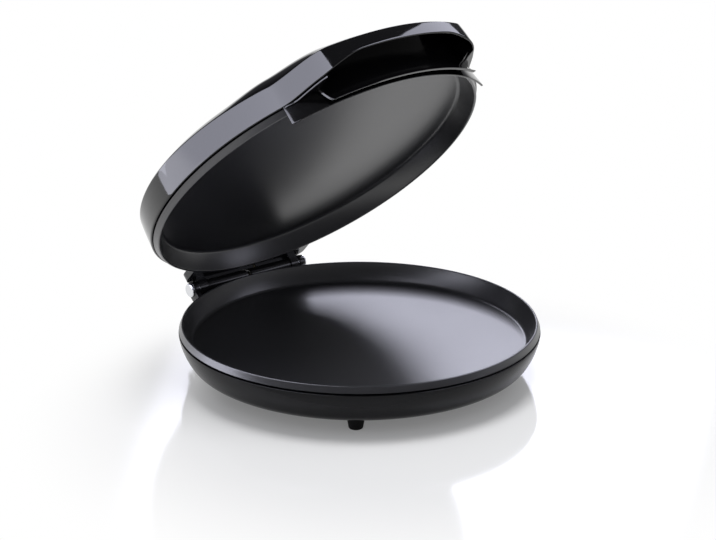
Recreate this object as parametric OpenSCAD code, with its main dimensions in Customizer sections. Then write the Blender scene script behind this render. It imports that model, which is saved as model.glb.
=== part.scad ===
// Countertop pizza maker: two round cooking plates in a hinged clamshell.
// Millimetres. +Z up, front towards -Y, the table at z = 0, the base's axis at x = y = 0.
// The lid is modelled closed and then swung open by rest_open about the hinge.

/* [Cooking plates] */
// Radius of the rounded lip on which the plates meet
plate_r = 161; // [150:1:170]
// Depth of the pan below its lip
pan_depth = 18; // [12:1:20]
// How far the pan's wall leans in from its lip to the cooking surface
pan_lean = 12; // [11:1:20]
// Radius of the fillet between cooking surface and wall
pan_fillet = 4; // [2:0.5:8]
// Thickness of the casting
plate_t = 2.6; // [2:0.1:3.5]
// How far the apron stands out from the lip
apron_out = 2; // [1:0.5:3]
// How far the apron drops below the lip
apron_drop = 6; // [4:0.5:8]
// Gap between the two lips when the lid is shut
lip_gap = 0.6; // [0.6:0.1:3]
// Distance of the plate screws inside the lip
screw_inset = 49; // [46:1:53]

/* [Base] */
// How far the housing's top edge stands out beyond the plate's apron
base_over = 0.3; // [0.1:0.1:4]
// Shadow gap between the plate's apron and the housing
shadow_gap = 1.5; // [1:0.1:4]
// Clearance between the table and the underside
ground_gap = 12; // [8:0.5:12]
// Wall of the base housing
base_wall = 2.4; // [1.8:0.1:3]
// Room between the lower reflector and the housing's floor
floor_room = 3.6; // [2:0.1:8]
// Distance of the feet's middles inside the housing's top edge
foot_inset = 31.3; // [31:0.1:37]
// Angle of each foot from the front or rear
foot_angle = 41; // [35:1:50]
// Top radius of a foot
foot_r = 8.25; // [6:0.25:9]

/* [Lid] */
// How far the shell's lower edge stands out beyond the plate's apron
lid_over = 2; // [1:0.5:5]
// Height of the shell's lower edge above the parting plane
lid_edge = 7; // [7:0.5:10]
// Height of the side band
band_h = 26.9; // [22:0.1:32]
// How far the side band leans in at its top
band_lean = 1.6; // [0.5:0.1:4]
// How far the band's top sinks towards the front
crest_drop = 5.3; // [0:0.1:8]
// Room between the upper reflector and the shell's crown
crown_room = 18.8; // [16:0.1:30]
// How square the dome's shoulder is
dome_power = 6; // [3:0.5:10]
// Wall of the lid shell
lid_wall = 2.2; // [1.8:0.1:2.6]
// How far the front visor stands out from the band
visor_reach = 27; // [18:1:28]
// How far the visor's edge is lifted above the band's edge
visor_lift = 8.5; // [6:0.5:14]
// How far the scooped grip stands out beyond the shell's lower edge
grip_out = 13; // [12:0.5:16]
// Half angle of the scooped grip
grip_half = 27; // [22:1:28]
// Half angle of the inner front skirt
guard_half = 39.5; // [34:0.5:42]
// How far both front skirts hang below the parting plane
skirt_drop = 11.5; // [9:0.5:16]

/* [Hinge] */
// Distance of the hinge axis behind the plate's apron
hinge_back = 8; // [7:0.5:14]
// Depth of the hinge axis below the parting plane
hinge_drop = 5; // [4:0.5:7]
// Opening angle of the lid as stored
rest_open = 46; // [0:1:90]
// Radius of the ears' round ends
ear_r = 7; // [6:0.5:7.5]
// Distance from the middle to an ear's inner face
ear_x = 60; // [50:1:66]
// Thickness of an ear
ear_t = 6; // [5:0.5:8]
// Radius of the barrels between the knuckles
barrel_r = 6; // [5.5:0.25:6.5]
// Gap between the two barrels
barrel_gap = 3.5; // [3.4:0.1:6]
// Radius of a hinge pin
pin_r = 2.5; // [2:0.1:2.8]
// Radius of the caps on the ears' outer faces
cap_r = 6.7; // [5:0.1:6.8]
// Thickness of those caps
cap_t = 2.6; // [1:0.1:3]

/* [Heating] */
// Distance of the heater's ring inside the plate screws
heater_inset = 17; // [16:0.5:24]
// Radius of the heater's tube
heater_tube_r = 3.3; // [2.8:0.1:3.3]
// How far the heat reflector reaches beyond the plate screws
reflector_over = 14; // [10:0.5:16]
// Gap between the clip screws' heads and the reflector
reflector_gap = 1.3; // [1:0.1:3]

/* [Cord inlet] */
// Radius of the hole for the mains cord
cord_hole_r = 3.6; // [3:0.1:4.2]
// Sideways place of the inlet
cord_x = 30; // [20:1:40]

/* [Hidden] */

// Clearances
seat = 0.15;          // between pieces of one body that only touch
running = 0.05;       // radial, between a hinge pin and the ear it turns in
free = 0.5;           // round a column or boss that passes through a sheet

// Fine round parts
$fn = 96;

// ---- Radii that follow the plates ----
floor_r = plate_r - pan_lean;
apron_r = plate_r + apron_out;
screw_circle_r = plate_r - screw_inset;
heater_r = screw_circle_r - heater_inset;
reflector_r = screw_circle_r + reflector_over;
stud_circle_r = heater_r - 20;
base_r = apron_r + base_over;
foot_circle_r = base_r - foot_inset;
lid_r = apron_r + lid_over;
grip_r = lid_r + grip_out;
hinge_y = apron_r + hinge_back;

// ---- Heights measured down from a plate's lip ----
plate_underside = pan_depth + plate_t;
boss_h = 6;
boss_face = plate_underside + boss_h;
heater_axis = plate_underside + heater_tube_r + seat;
clip_face = heater_axis + heater_tube_r + seat;
clip_t = 1;
small_head_r = 2.2;
small_head_h = 1.1;
reflector_drop = clip_face + clip_t + small_head_h + reflector_gap;
reflector_t = 0.8;
screw_boss_r = 5.5;
pilot_r = 1.6;
pilot_depth = 6.5;

// ---- Places in the base and the lid ----
floor_z = ground_gap + base_wall;
parting_z = floor_z + floor_room + reflector_t + reflector_drop + lip_gap / 2;
crown_h = lip_gap / 2 + reflector_drop + reflector_t + crown_room + lid_wall;
lower_lip_z = parting_z - lip_gap / 2;
upper_lip_z = parting_z + lip_gap / 2;
base_top_z = lower_lip_z - apron_drop - shadow_gap;
base_h = base_top_z - ground_gap;
column_r = 5;
column_foot_r = 7.5;
screw_r = 1.45;
screw_head_r = 3.8;
screw_head_h = 2.6;
screw_shoulder_z = ground_gap + 5;
hinge_z = parting_z - hinge_drop;

// ---- Hinge block and ears ----
block_y = hinge_y + barrel_r - 1;
block_top_z = hinge_z - barrel_r - 3;
block_bottom_z = ground_gap + 4;
block_corner = 4;
bush_z = (block_top_z + block_bottom_z) / 2;
link_hole_r = 2.2;
wire_r = 1.5;
wire_gap = 0.35;      // between a lead and the casting beside it
knuckle_t = 9;
knuckle_r = ear_r;
washer_t = 0.7;
knuckle_x = ear_x - washer_t - 2 * seat - knuckle_t;
ear_screw_r = 1.4;
ear_skin = 1.5;

// ==== Small helpers ====

// Eases from 0 at a to 1 at b
function ease(a, b, x) = let (t = min(1, max(0, (x - a) / (b - a)))) t * t * (3 - 2 * t);

// Points on an arc in the (r, z) plane
function arc(centre, radius, from, to, steps) =
  [for (i = [0 : steps]) let (a = from + (to - from) * i / steps)
    centre + radius * [cos(a), sin(a)]];

// Places children at the four quarter points of a circle, turned by start
module quarters(radius, start = 45) {
  for (a = [start : 90 : start + 270]) rotate(a) translate([radius, 0, 0]) children();
}

// A round bar along a path of points, with slightly fuller ball corners
module round_bar(path, radius) {
  for (i = [0 : len(path) - 2]) {
    run = path[i + 1] - path[i];
    flat = norm([run.x, run.y]);
    translate(path[i]) rotate([0, atan2(flat, run.z), atan2(run.y, run.x)])
      cylinder(r = radius, h = norm(run), $fn = 24);
  }
  for (i = [1 : len(path) - 2]) translate(path[i]) sphere(r = radius + 0.15, $fn = 24);
}

// Swings what belongs to the closed lid to its stored angle
module swing() {
  translate([0, hinge_y, hinge_z]) rotate([-rest_open, 0, 0])
    translate([0, -hinge_y, -hinge_z]) children();
}

// Puts what is drawn below a lip at z = 0 under the lower or over the upper lip
module below_lower_lip() { translate([0, 0, lower_lip_z]) children(); }
module above_upper_lip() { swing() translate([0, 0, upper_lip_z]) mirror([0, 0, 1]) children(); }

// ==== Cooking plates, drawn with the lip at z = 0 and the pan below it ====

lip_bead = 1.3;

// Cast pan with a beaded lip and an outer apron
module plate_profile() {
  wall_foot = floor_r + pan_fillet * 0.75;
  lip_in = plate_r - 2 * lip_bead;
  outer_lip = lip_in + plate_t * 0.6;
  polygon(concat(
    [[0, -pan_depth]],
    arc([floor_r, pan_fillet - pan_depth], pan_fillet, -90, -25, 4),
    arc([plate_r - lip_bead, -lip_bead], lip_bead, 180, 0, 8),
    [[apron_r, -apron_drop], [apron_r - 1.8, -apron_drop], [outer_lip + 0.9, -3.2],
     [outer_lip, -3.2], [wall_foot + plate_t * 0.9, -pan_depth + 1.5]],
    arc([floor_r, pan_fillet - pan_depth], pan_fillet + plate_t, -25, -90, 4),
    [[0, -plate_underside]]));
}

clip_angles = [-90, 30, 150];
clip_reach = heater_tube_r + 6.2;
clip_boss_r = 3;
clip_screw_r = 1.1;
thermostat_y = 50 - heater_r;
thermostat_ear = 12;
channel_gap = 0.7;
channel_rib = 1.4;
channel_depth = heater_tube_r + seat - wire_r - wire_gap;

// Where the small clip and thermostat screws go
module small_screw_places() {
  for (a = clip_angles, s = [-1, 1]) rotate(a) translate([heater_r + s * clip_reach, 0, 0]) children();
}
module thermostat_screw_places() {
  for (s = [-1, 1]) translate([s * thermostat_ear, thermostat_y, 0]) children();
}

// A plate with its screw bosses, clip bosses and the channel that seats the heater
module cooking_plate() {
  difference() {
    union() {
      rotate_extrude($fn = 180) plate_profile();
      quarters(screw_circle_r)
        translate([0, 0, -boss_face]) cylinder(r = screw_boss_r, h = boss_h + 1, $fn = 48);
      small_screw_places()
        translate([0, 0, -clip_face]) cylinder(r = clip_boss_r, h = clip_face - plate_underside + 1, $fn = 32);
      thermostat_screw_places()
        translate([0, 0, -plate_underside - 2]) cylinder(r = clip_boss_r, h = 3, $fn = 32);
      for (s = [-1, 1])
        rotate_extrude() translate([heater_r + s * (heater_tube_r + channel_gap + channel_rib / 2), -plate_underside])
          square([channel_rib, 2 * channel_depth], center = true);
    }
    quarters(screw_circle_r)
      translate([0, 0, -boss_face - 1]) cylinder(r = pilot_r, h = pilot_depth + 1, $fn = 32);
    small_screw_places()
      translate([0, 0, -clip_face - 1]) cylinder(r = clip_screw_r + 0.1, h = 6, $fn = 24);
    thermostat_screw_places()
      translate([0, 0, -plate_underside - 3]) cylinder(r = clip_screw_r + 0.1, h = 4, $fn = 24);
  }
}

module lower_plate() { color("#2b2b2d") below_lower_lip() cooking_plate(); }
module upper_plate() { color("#2b2b2d") above_upper_lip() cooking_plate(); }

// ==== Heating, drawn like the plates ====

heater_open = 30;     // angle of the gap between the heater's ends, at the rear
pin_len = 9;
heater_pin_r = 1.2;

// Tubular heater: an open ring with a capped pin at each end
module heater() {
  translate([0, 0, -heater_axis]) {
    rotate(90 + heater_open / 2)
      rotate_extrude(angle = 360 - heater_open) translate([heater_r, 0]) circle(r = heater_tube_r, $fn = 32);
    for (s = [-1, 1]) rotate(90 + s * heater_open / 2) translate([heater_r, 0, 0])
      rotate([s * 90, 0, 0]) translate([0, 0, -1]) cylinder(r = heater_pin_r, h = pin_len + 1, $fn = 24);
  }
}

module lower_heater() { color("#8d8a86") below_lower_lip() heater(); }
module upper_heater() { color("#8d8a86") above_upper_lip() heater(); }

// Steel straps that hold the heater in its channel
module heater_clips() {
  for (a = clip_angles) rotate(a) translate([heater_r, 0, -clip_face - clip_t]) difference() {
    translate([-clip_reach - 4, -5, 0]) cube([2 * clip_reach + 8, 10, clip_t]);
    for (s = [-1, 1]) translate([s * clip_reach, 0, -1]) cylinder(r = clip_screw_r + 0.2, h = clip_t + 2, $fn = 24);
  }
}

module lower_heater_clips() { color("#b9bab8") below_lower_lip() heater_clips(); }
module upper_heater_clips() { color("#b9bab8") above_upper_lip() heater_clips(); }

// A pan-head screw that points up, with the underside of its head at z = 0
module pan_screw(shank_r, shank_len, head_r, head_h) {
  cylinder(r = shank_r, h = shank_len, $fn = 24);
  translate([0, 0, -head_h]) cylinder(r1 = head_r * 0.75, r2 = head_r, h = head_h * 0.4, $fn = 32);
  translate([0, 0, -head_h * 0.6]) cylinder(r = head_r, h = head_h * 0.6, $fn = 32);
}

thermostat_flange_t = 0.8;

// Small screws of the heater clips and the thermostat
module clip_screws() {
  small_screw_places() translate([0, 0, -clip_face - clip_t])
    pan_screw(clip_screw_r, 5, small_head_r, small_head_h);
  thermostat_screw_places() translate([0, 0, -plate_underside - 2 - thermostat_flange_t])
    pan_screw(clip_screw_r, 3.5, small_head_r, small_head_h);
}

module lower_clip_screws() { color("#c9c9c6") below_lower_lip() clip_screws(); }
module upper_clip_screws() { color("#c9c9c6") above_upper_lip() clip_screws(); }

thermostat_r = 8;
thermostat_h = 7;

// Bimetal thermostat: a cup against the plate, a flange with two ears and two blades
module thermostat() {
  difference() {
    translate([0, thermostat_y, -plate_underside]) {
      translate([0, 0, -2]) cylinder(r = thermostat_r, h = 2 - seat, $fn = 48);
      translate([0, 0, -2 - thermostat_flange_t]) {
        cylinder(r = thermostat_r + 1, h = thermostat_flange_t, $fn = 48);
        translate([-thermostat_ear - 3, -3, 0]) cube([2 * thermostat_ear + 6, 6, thermostat_flange_t]);
      }
      translate([0, 0, -thermostat_h]) cylinder(r = thermostat_r - 1, h = thermostat_h - 2, $fn = 48);
      for (s = [-1, 1]) translate([s * 3.5 - 2, -thermostat_r - 6, -thermostat_h + 1])
        cube([4, thermostat_r, 0.8]);
    }
    thermostat_screw_places() translate([0, 0, -plate_underside - 4])
      cylinder(r = clip_screw_r + 0.2, h = 3, $fn = 24);
  }
}

module lower_thermostat() { color("#d8cfc0") below_lower_lip() thermostat(); }
module upper_thermostat() { color("#d8cfc0") above_upper_lip() thermostat(); }

fuse_r = 2.2;

// Thermal fuse: a ceramic sleeve on its leads, flat against the plate
module thermal_fuse() {
  translate([0, heater_r - 61, -plate_underside - fuse_r - seat]) rotate([0, 90, 0]) {
    cylinder(r = fuse_r, h = 22, center = true, $fn = 32);
    cylinder(r = 0.6, h = 44, center = true, $fn = 16);
  }
}

module lower_thermal_fuse() { color("#efe9da") below_lower_lip() thermal_fuse(); }
module upper_thermal_fuse() { color("#efe9da") above_upper_lip() thermal_fuse(); }

stud_r = 2.2;

// Heat reflector: a thin dish with an upturned rim and holes for what passes through
module reflector(hole_r, stud_hole_r) {
  rim = 7;
  difference() {
    rotate_extrude($fn = 180) polygon([
      [0, -reflector_drop], [0, -reflector_drop - reflector_t], [reflector_r - 5, -reflector_drop - reflector_t],
      [reflector_r, -reflector_drop + rim - 2], [reflector_r - reflector_t, -reflector_drop + rim - 2],
      [reflector_r - 5.6, -reflector_drop]]);
    quarters(screw_circle_r)
      translate([0, 0, -reflector_drop - 2]) cylinder(r = hole_r, h = 4, $fn = 32);
    if (stud_hole_r > 0) quarters(stud_circle_r, 0)
      translate([0, 0, -reflector_drop - 2]) cylinder(r = stud_hole_r, h = 4, $fn = 32);
  }
}

module lower_reflector() { color("#c4c6c8") below_lower_lip() reflector(column_r + free, 0); }
module upper_reflector() { color("#c4c6c8") above_upper_lip() reflector(screw_r + 0.3, stud_r + 0.15); }

// ==== Base ====

// The housing's bowed side as three blended arcs, moved in by inset
function base_side(inset) =
  let (
    lip = base_h * 0.656, bow = base_h * 1.846, corner = base_h * 0.577,
    a = 13, b = 33,
    c0 = [base_r - lip, base_top_z],
    c1 = c0 + (lip - bow) * [cos(a), -sin(a)],
    c2 = c1 + (bow - corner) * [cos(b), -sin(b)])
  concat(arc(c0, lip - inset, 0, -a, 2), arc(c1, bow - inset, -a, -b, 4), arc(c2, corner - inset, -b, -90, 5));

module base_solid(inset) {
  rotate_extrude($fn = 180) polygon(concat(
    [[0, base_top_z]], base_side(inset), [[0, ground_gap + inset]]));
}

// Plan of the rear block with rounded rear corners
module block_plan(half, depth, corner) {
  translate([-half, screw_circle_r]) square([2 * half, depth - screw_circle_r - corner]);
  translate([-half + corner, screw_circle_r]) square([2 * (half - corner), depth - screw_circle_r]);
  for (s = [-1, 1]) translate([s * (half - corner), depth - corner]) circle(r = corner, $fn = 48);
}

foot_places = [for (sy = [-1, 1], sx = [-1, 1]) foot_circle_r * [sx * sin(foot_angle), sy * cos(foot_angle)]];
foot_seat = 1;
foot_stem_r = 2.4;
terminal_z = floor_z + 2.6;
terminal_y = base_r - 32.3;
terminal_size = [36, 14, 10];
vent_count = 12;

// Bowl with the hinge block, plate columns, foot seats and vents
module base_housing() {
  color("#1d1d1f") difference() {
    union() {
      difference() {
        union() {
          base_solid(0);
          translate([0, 0, block_bottom_z]) linear_extrude(block_top_z - block_bottom_z)
            block_plan(ear_x, block_y, block_corner);
        }
        base_solid(base_wall);
        translate([0, 0, base_top_z - 1]) cylinder(r = base_r - base_wall, h = 2, $fn = 180);
        translate([0, 0, block_bottom_z + base_wall])
          linear_extrude(block_top_z - block_bottom_z - 2 * base_wall)
            block_plan(ear_x - base_wall, block_y - base_wall, block_corner - base_wall);
      }
      quarters(screw_circle_r) translate([0, 0, ground_gap + 1]) {
        cylinder(r = column_foot_r, h = lower_lip_z - reflector_drop - reflector_t - ground_gap - 1, $fn = 48);
        cylinder(r = column_r, h = lower_lip_z - boss_face - ground_gap - 1, $fn = 48);
      }
      for (s = [-1, 1]) translate([s * terminal_size.x / 3, terminal_y + terminal_size.y / 2, ground_gap + 1])
        cylinder(r = 3, h = terminal_z - ground_gap - 1, $fn = 32);
    }
    quarters(screw_circle_r) translate([0, 0, ground_gap - 1]) {
      cylinder(r = screw_head_r + free, h = screw_shoulder_z - ground_gap + 1, $fn = 32);
      cylinder(r = screw_r + free, h = base_h, $fn = 32);
    }
    for (p = foot_places) translate([p.x, p.y, ground_gap - 1]) {
      cylinder(r = foot_r + 0.2, h = 1 + foot_seat, $fn = 48);
      cylinder(r = foot_stem_r + seat, h = 8, $fn = 32);
    }
    for (i = [0 : vent_count - 1]) rotate(i * 360 / vent_count) translate([42, -1.5, ground_gap - 1])
      cube([18, 3, base_wall + 2]);
    translate([cord_x, block_y - base_wall - 1, bush_z]) rotate([-90, 0, 0])
      cylinder(r = bush_neck_r + seat, h = base_wall + 2, $fn = 48);
    translate([0, hinge_y, block_top_z - base_wall - 1]) cylinder(r = link_hole_r, h = base_wall + 2, $fn = 32);
    ear_screw_places() cylinder(r = ear_screw_r - 0.1, h = 9, $fn = 24);
  }
}

// Rubber foot: a tapered puck with a rounded tread and a push-in stem
module foot(p) {
  tread = 1.5;
  color("#151515") translate([p.x, p.y, 0]) {
    rotate_extrude($fn = 64) polygon(concat(
      [[0, 0]], arc([foot_r - 1.9 - tread, tread], tread, -90, -5, 4), [[foot_r, ground_gap + foot_seat], [0, ground_gap + foot_seat]]));
    cylinder(r = foot_stem_r, h = floor_z + 1.6, $fn = 32);
    translate([0, 0, floor_z + seat]) cylinder(r1 = foot_stem_r + 0.8, r2 = foot_stem_r - 0.6, h = 2.4, $fn = 32);
  }
}
module foot_front_left() { foot(foot_places[0]); }
module foot_front_right() { foot(foot_places[1]); }
module foot_rear_left() { foot(foot_places[2]); }
module foot_rear_right() { foot(foot_places[3]); }

// Screws from below through the columns into the plate's bosses
module base_screws() {
  color("#b4b6b8") quarters(screw_circle_r) translate([0, 0, screw_shoulder_z])
    pan_screw(screw_r, lower_lip_z - boss_face + pilot_depth - 1.5 - screw_shoulder_z, screw_head_r, screw_head_h);
}

// Ceramic block with three screw wells
module terminal_block() {
  color("#e9e4d6") translate([-terminal_size.x / 2, terminal_y, terminal_z]) difference() {
    cube(terminal_size);
    for (i = [0 : 2]) translate([terminal_size.x * (i + 0.5) / 3, terminal_size.y / 2, 3])
      cylinder(r = 3.2, h = terminal_size.z, $fn = 32);
  }
}

bush_neck_r = 6;
bush_flange_r = 8.5;
bush_out = 2.5;

// Grommet that lines the cord hole
module cord_bush() {
  color("#141414") translate([cord_x, block_y, bush_z]) rotate([-90, 0, 0]) difference() {
    union() {
      translate([0, 0, seat]) cylinder(r1 = bush_flange_r, r2 = bush_flange_r - 1, h = bush_out, $fn = 64);
      translate([0, 0, -base_wall - 2]) cylinder(r = bush_neck_r, h = base_wall + 3, $fn = 64);
      translate([0, 0, -base_wall - seat - 2]) cylinder(r = bush_neck_r + 1.3, h = 2, $fn = 64);
    }
    translate([0, 0, -base_wall - 3]) cylinder(r = cord_hole_r, h = base_wall + bush_out + 5, $fn = 64);
  }
}

wire_z = lower_lip_z - heater_axis;
heater_pin_end = [heater_r * sin(heater_open / 2) - pin_len * cos(heater_open / 2),
                  heater_r * cos(heater_open / 2) + pin_len * sin(heater_open / 2)];

// Heat-proof leads from the terminal block to the heater, and the link to the lid
module base_wiring() {
  color("#c9b391") {
    for (s = [-1, 1]) round_bar([
      [s * 9, terminal_y - seat, wire_z], [s * 10, heater_pin_end.y + 16, wire_z],
      [s * (heater_pin_end.x - 1.5), heater_pin_end.y + 0.3, wire_z]], wire_r);
    round_bar([
      [0, terminal_y + terminal_size.y + seat, bush_z], [0, hinge_y, bush_z], [0, hinge_y, hinge_z - seat]], wire_r);
  }
}

// ==== Hinge ====

ear_foot_front = hinge_y - 20;
ear_foot_rear = hinge_y - 5;
ear_foot_z = block_bottom_z + 2;
ear_slope = 50;       // where on its round end the ear's rear edge starts, below the horizontal
ear_tip = [hinge_y, hinge_z] + (ear_r - 0.3) * [cos(ear_slope), -sin(ear_slope)];
ear_screw_spots = [[ear_foot_front + 4, ear_foot_z + 5], [ear_foot_rear - 4, ear_foot_z + 5]];

// Screw axes of both ears, starting 8 mm inside the block and pointing out
module ear_screw_places() {
  for (s = [-1, 1], p = ear_screw_spots) translate([s * (ear_x - 8), p.x, p.y]) rotate([0, s * 90, 0]) children();
}

// Upright ear with a round end and a blind bore for the pin
module hinge_ear(side) {
  color("#0e0e10") difference() {
    translate([side * (ear_x + ear_t / 2) - ear_t / 2, 0, 0]) rotate([90, 0, 90]) linear_extrude(ear_t) {
      translate([hinge_y, hinge_z]) circle(r = ear_r, $fn = 96);
      polygon([
        [ear_foot_front, ear_foot_z], [ear_foot_rear, ear_foot_z],
        [ear_foot_rear, ear_tip.y - (ear_tip.x - ear_foot_rear) / tan(ear_slope)], ear_tip,
        [hinge_y - ear_r, hinge_z], [ear_foot_front, block_top_z]]);
    }
    translate([side * (ear_x - 1), hinge_y, hinge_z]) rotate([0, side * 90, 0])
      cylinder(r = pin_r + running, h = ear_t - ear_skin + 1, $fn = 64);
    ear_screw_places() cylinder(r = ear_screw_r + 0.2, h = ear_t + 10, $fn = 24);
  }
}
module hinge_ear_left() { hinge_ear(-1); }
module hinge_ear_right() { hinge_ear(1); }

// Screws through the ears' feet into the block
module ear_screws() {
  color("#b4b6b8") for (s = [-1, 1], p = ear_screw_spots)
    translate([s * (ear_x + ear_t), p.x, p.y]) rotate([0, -s * 90, 0])
      pan_screw(ear_screw_r - 0.15, ear_t + 6, 2.6, 1.6);
}

// Domed caps that close the ears on the outside
module hinge_caps() {
  color("#c9cbcd") for (s = [-1, 1]) translate([s * (ear_x + ear_t), hinge_y, hinge_z]) rotate([0, s * 90, 0])
    rotate_extrude($fn = 96) polygon(concat(
      [[0, 0], [cap_r, 0]], arc([cap_r - cap_t * 0.6, cap_t * 0.4], cap_t * 0.6, 0, 60, 4),
      [[cap_r * 0.45, cap_t * 0.97], [0, cap_t]]));
}

pin_in = 12;

// Steel pin from the ear's blind bore through the knuckle into the barrel's spigot
module hinge_pin(side) {
  start = knuckle_x - pin_in + knuckle_t;
  color("#c8cacc") swing() translate([side * start, hinge_y, hinge_z]) rotate([0, side * 90, 0])
    cylinder(r = pin_r, h = ear_x + ear_t - ear_skin - 2 * seat - start, $fn = 64);
}
module hinge_pin_left() { hinge_pin(-1); }
module hinge_pin_right() { hinge_pin(1); }

// Friction washers between knuckle and ear
module hinge_washers() {
  color("#d0d2d4") swing() for (s = [-1, 1])
    translate([s * (knuckle_x + knuckle_t + seat), hinge_y, hinge_z]) rotate([0, s * 90, 0]) difference() {
      cylinder(r = knuckle_r - 0.8, h = washer_t, $fn = 64);
      translate([0, 0, -1]) cylinder(r = pin_r + running, h = washer_t + 2, $fn = 64);
    }
}

barrel_bore_r = barrel_r - 2;
spigot_len = 5;
link_x = 12;

// Round barrel on the hinge axis; the right one has a hole for the link wire
module hinge_barrel(side, slotted) {
  color("#101012") swing() difference() {
    translate([side * barrel_gap / 2, hinge_y, hinge_z]) rotate([0, side * 90, 0]) difference() {
      cylinder(r = barrel_r, h = knuckle_x - seat - barrel_gap / 2, $fn = 96);
      translate([0, 0, -1]) cylinder(r = barrel_bore_r, h = knuckle_x + 2, $fn = 64);
    }
    if (slotted) translate([link_x, hinge_y, hinge_z]) cylinder(r = link_hole_r, h = barrel_r + 1, $fn = 32);
  }
}
module hinge_barrel_left() { hinge_barrel(-1, false); }
module hinge_barrel_right() { hinge_barrel(1, true); }

// ==== Lid ====

cover_half = ear_x + ear_t + 4;    // half width of the cover over the hinge
cover_root = lid_r - 35;           // the cover's front, inside the circle that cuts it
cover_y = hinge_y + 1;
cover_bottom = ear_r + seat + 0.45 - hinge_drop;
cover_top = 10;
cover_corner = 10;
cover_rib = 3;        // rib that closes the slot above the barrels
hood_half = 20;       // half width of the hood over the link wire
hood_top = lid_edge + 11;
hood_y = hinge_y + 5;
ledge_drop = 0.2;

// Plan of the hinge cover, outside the shell
module cover_plan(inner_r) {
  difference() {
    union() {
      translate([-cover_half, cover_root]) square([2 * cover_half, cover_y - cover_root - cover_corner]);
      translate([-cover_half + cover_corner, cover_root])
        square([2 * (cover_half - cover_corner), cover_y - cover_root]);
      for (s = [-1, 1]) translate([s * (cover_half - cover_corner), cover_y - cover_corner])
        circle(r = cover_corner, $fn = 64);
    }
    circle(r = inner_r, $fn = 180);
  }
}

// Cover over the hinge with two knuckles, spigots for the barrels and a wire hood
module hinge_cover() {
  ledge_top = lid_edge - ledge_drop;
  color("#0f0f11") swing() difference() {
    union() {
      translate([0, 0, parting_z + cover_bottom]) linear_extrude(ledge_top - cover_bottom) cover_plan(apron_r + 0.6);
      translate([0, 0, parting_z + ledge_top - 0.5]) linear_extrude(cover_top - ledge_top + 0.5) cover_plan(lid_r + 0.15);
      difference() {
        translate([-hood_half, cover_root, parting_z + cover_bottom])
          cube([2 * hood_half, hood_y - cover_root, hood_top - cover_bottom]);
        translate([0, 0, parting_z]) cylinder(r = lid_r + 0.15, h = hood_top + 1, $fn = 180);
      }
      for (s = [-1, 1]) translate([s * knuckle_x, hinge_y, hinge_z]) rotate([0, s * 90, 0]) {
        cylinder(r = knuckle_r, h = knuckle_t, $fn = 96);
        translate([0, 0, -spigot_len]) cylinder(r = barrel_bore_r - 0.05, h = spigot_len + 1, $fn = 64);
      }
      for (s = [-1, 1]) translate([s * (knuckle_x + knuckle_t / 2) - knuckle_t / 2, hinge_y - knuckle_r, hinge_z])
        cube([knuckle_t, knuckle_r + 1, parting_z + cover_bottom + 1 - hinge_z]);
      translate([-knuckle_x - 1, hinge_y - cover_rib / 2, hinge_z + barrel_r + seat])
        cube([2 * knuckle_x + 2, cover_rib, parting_z + cover_bottom + 1 - hinge_z - barrel_r - seat]);
    }
    for (s = [-1, 1]) translate([s * (knuckle_x - spigot_len - 1), hinge_y, hinge_z]) rotate([0, s * 90, 0])
      cylinder(r = pin_r + 0.02, h = knuckle_t + spigot_len + 3, $fn = 64);
    translate([link_x - wire_r - 1, cover_root, parting_z + hood_top - 8])
      cube([2 * wire_r + 2, hood_y - 2 - cover_root, 6]);
    translate([link_x, hinge_y, parting_z]) cylinder(r = wire_r + 0.6, h = hood_top - 4, $fn = 32);
  }
}

// -- Lid shell: one skin swept round the lid from an edge, a band and a dome --

visor_outer = 40;     // angle at which the visor starts to stand out
visor_full = 21.5;    // angle inside which it stands out fully
lift_outer = 27.5;    // angle at which its edge starts to rise
lift_full = 14;       // angle inside which it is fully lifted
sink_outer = 89;      // angle at which the band's top starts to sink
sink_full = 10;       // angle inside which it has sunk fully
swell_outer = 58;     // angle at which the dome starts to swell beside the visor
swell_peak = 39;      // angle at which it is swollen most
swell_inner = 20;     // angle inside which it dips along the visor
swell_h = 3.4;        // height of the swelling
swell_dip = 2;        // depth of the dip
swell_width = 0.3;    // width of both as a share of the dome's radius
band_bow = 0.8;
notch_half = 6;       // half angle of the wire notch at the rear
notch_lift = 9;

function bulge(p) = 1 - ease(visor_full, visor_outer, abs(p));
function edge_rise(p) = visor_lift * (1 - ease(lift_full, lift_outer, abs(p)))
  + notch_lift * ease(180 - notch_half - 1, 180 - notch_half, p) * (1 - ease(180 + notch_half, 181 + notch_half, p));
function edge_r(p) = lid_r + visor_reach * bulge(p);
function edge_h(p) = lid_edge + edge_rise(p);
function crest_r(p) = lid_r - band_lean + (visor_reach - 0.5) * bulge(p);
function crest_h(p) = lid_edge + band_h - crest_drop * (1 - ease(sink_full, sink_outer, abs(p)));
function swell(p) = let (q = abs(p))
  (1 - ease(swell_peak, swell_outer, q)) * ((swell_h + swell_dip) * ease(swell_inner, swell_peak, q) - swell_dip);

// Height of the dome above the parting plane at a share f of the crest's radius
function dome_rise(p, f, inset) = crest_h(p) + (crown_h - inset - crest_h(p)) * (1 - pow(f, dome_power))
  + swell(p) * sin(180 * sqrt(min(1, (1 - f) / swell_width)));

dome_rows = 9;
band_rows = 2;
skin_angles = concat(
  [for (i = [-20 : 20]) i * 2.3], [for (p = [52 : 6 : 166]) p],
  [172, 173, 174, 177, 180, 183, 186, 187, 188], [for (p = [194 : 6 : 308]) p]);

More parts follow.
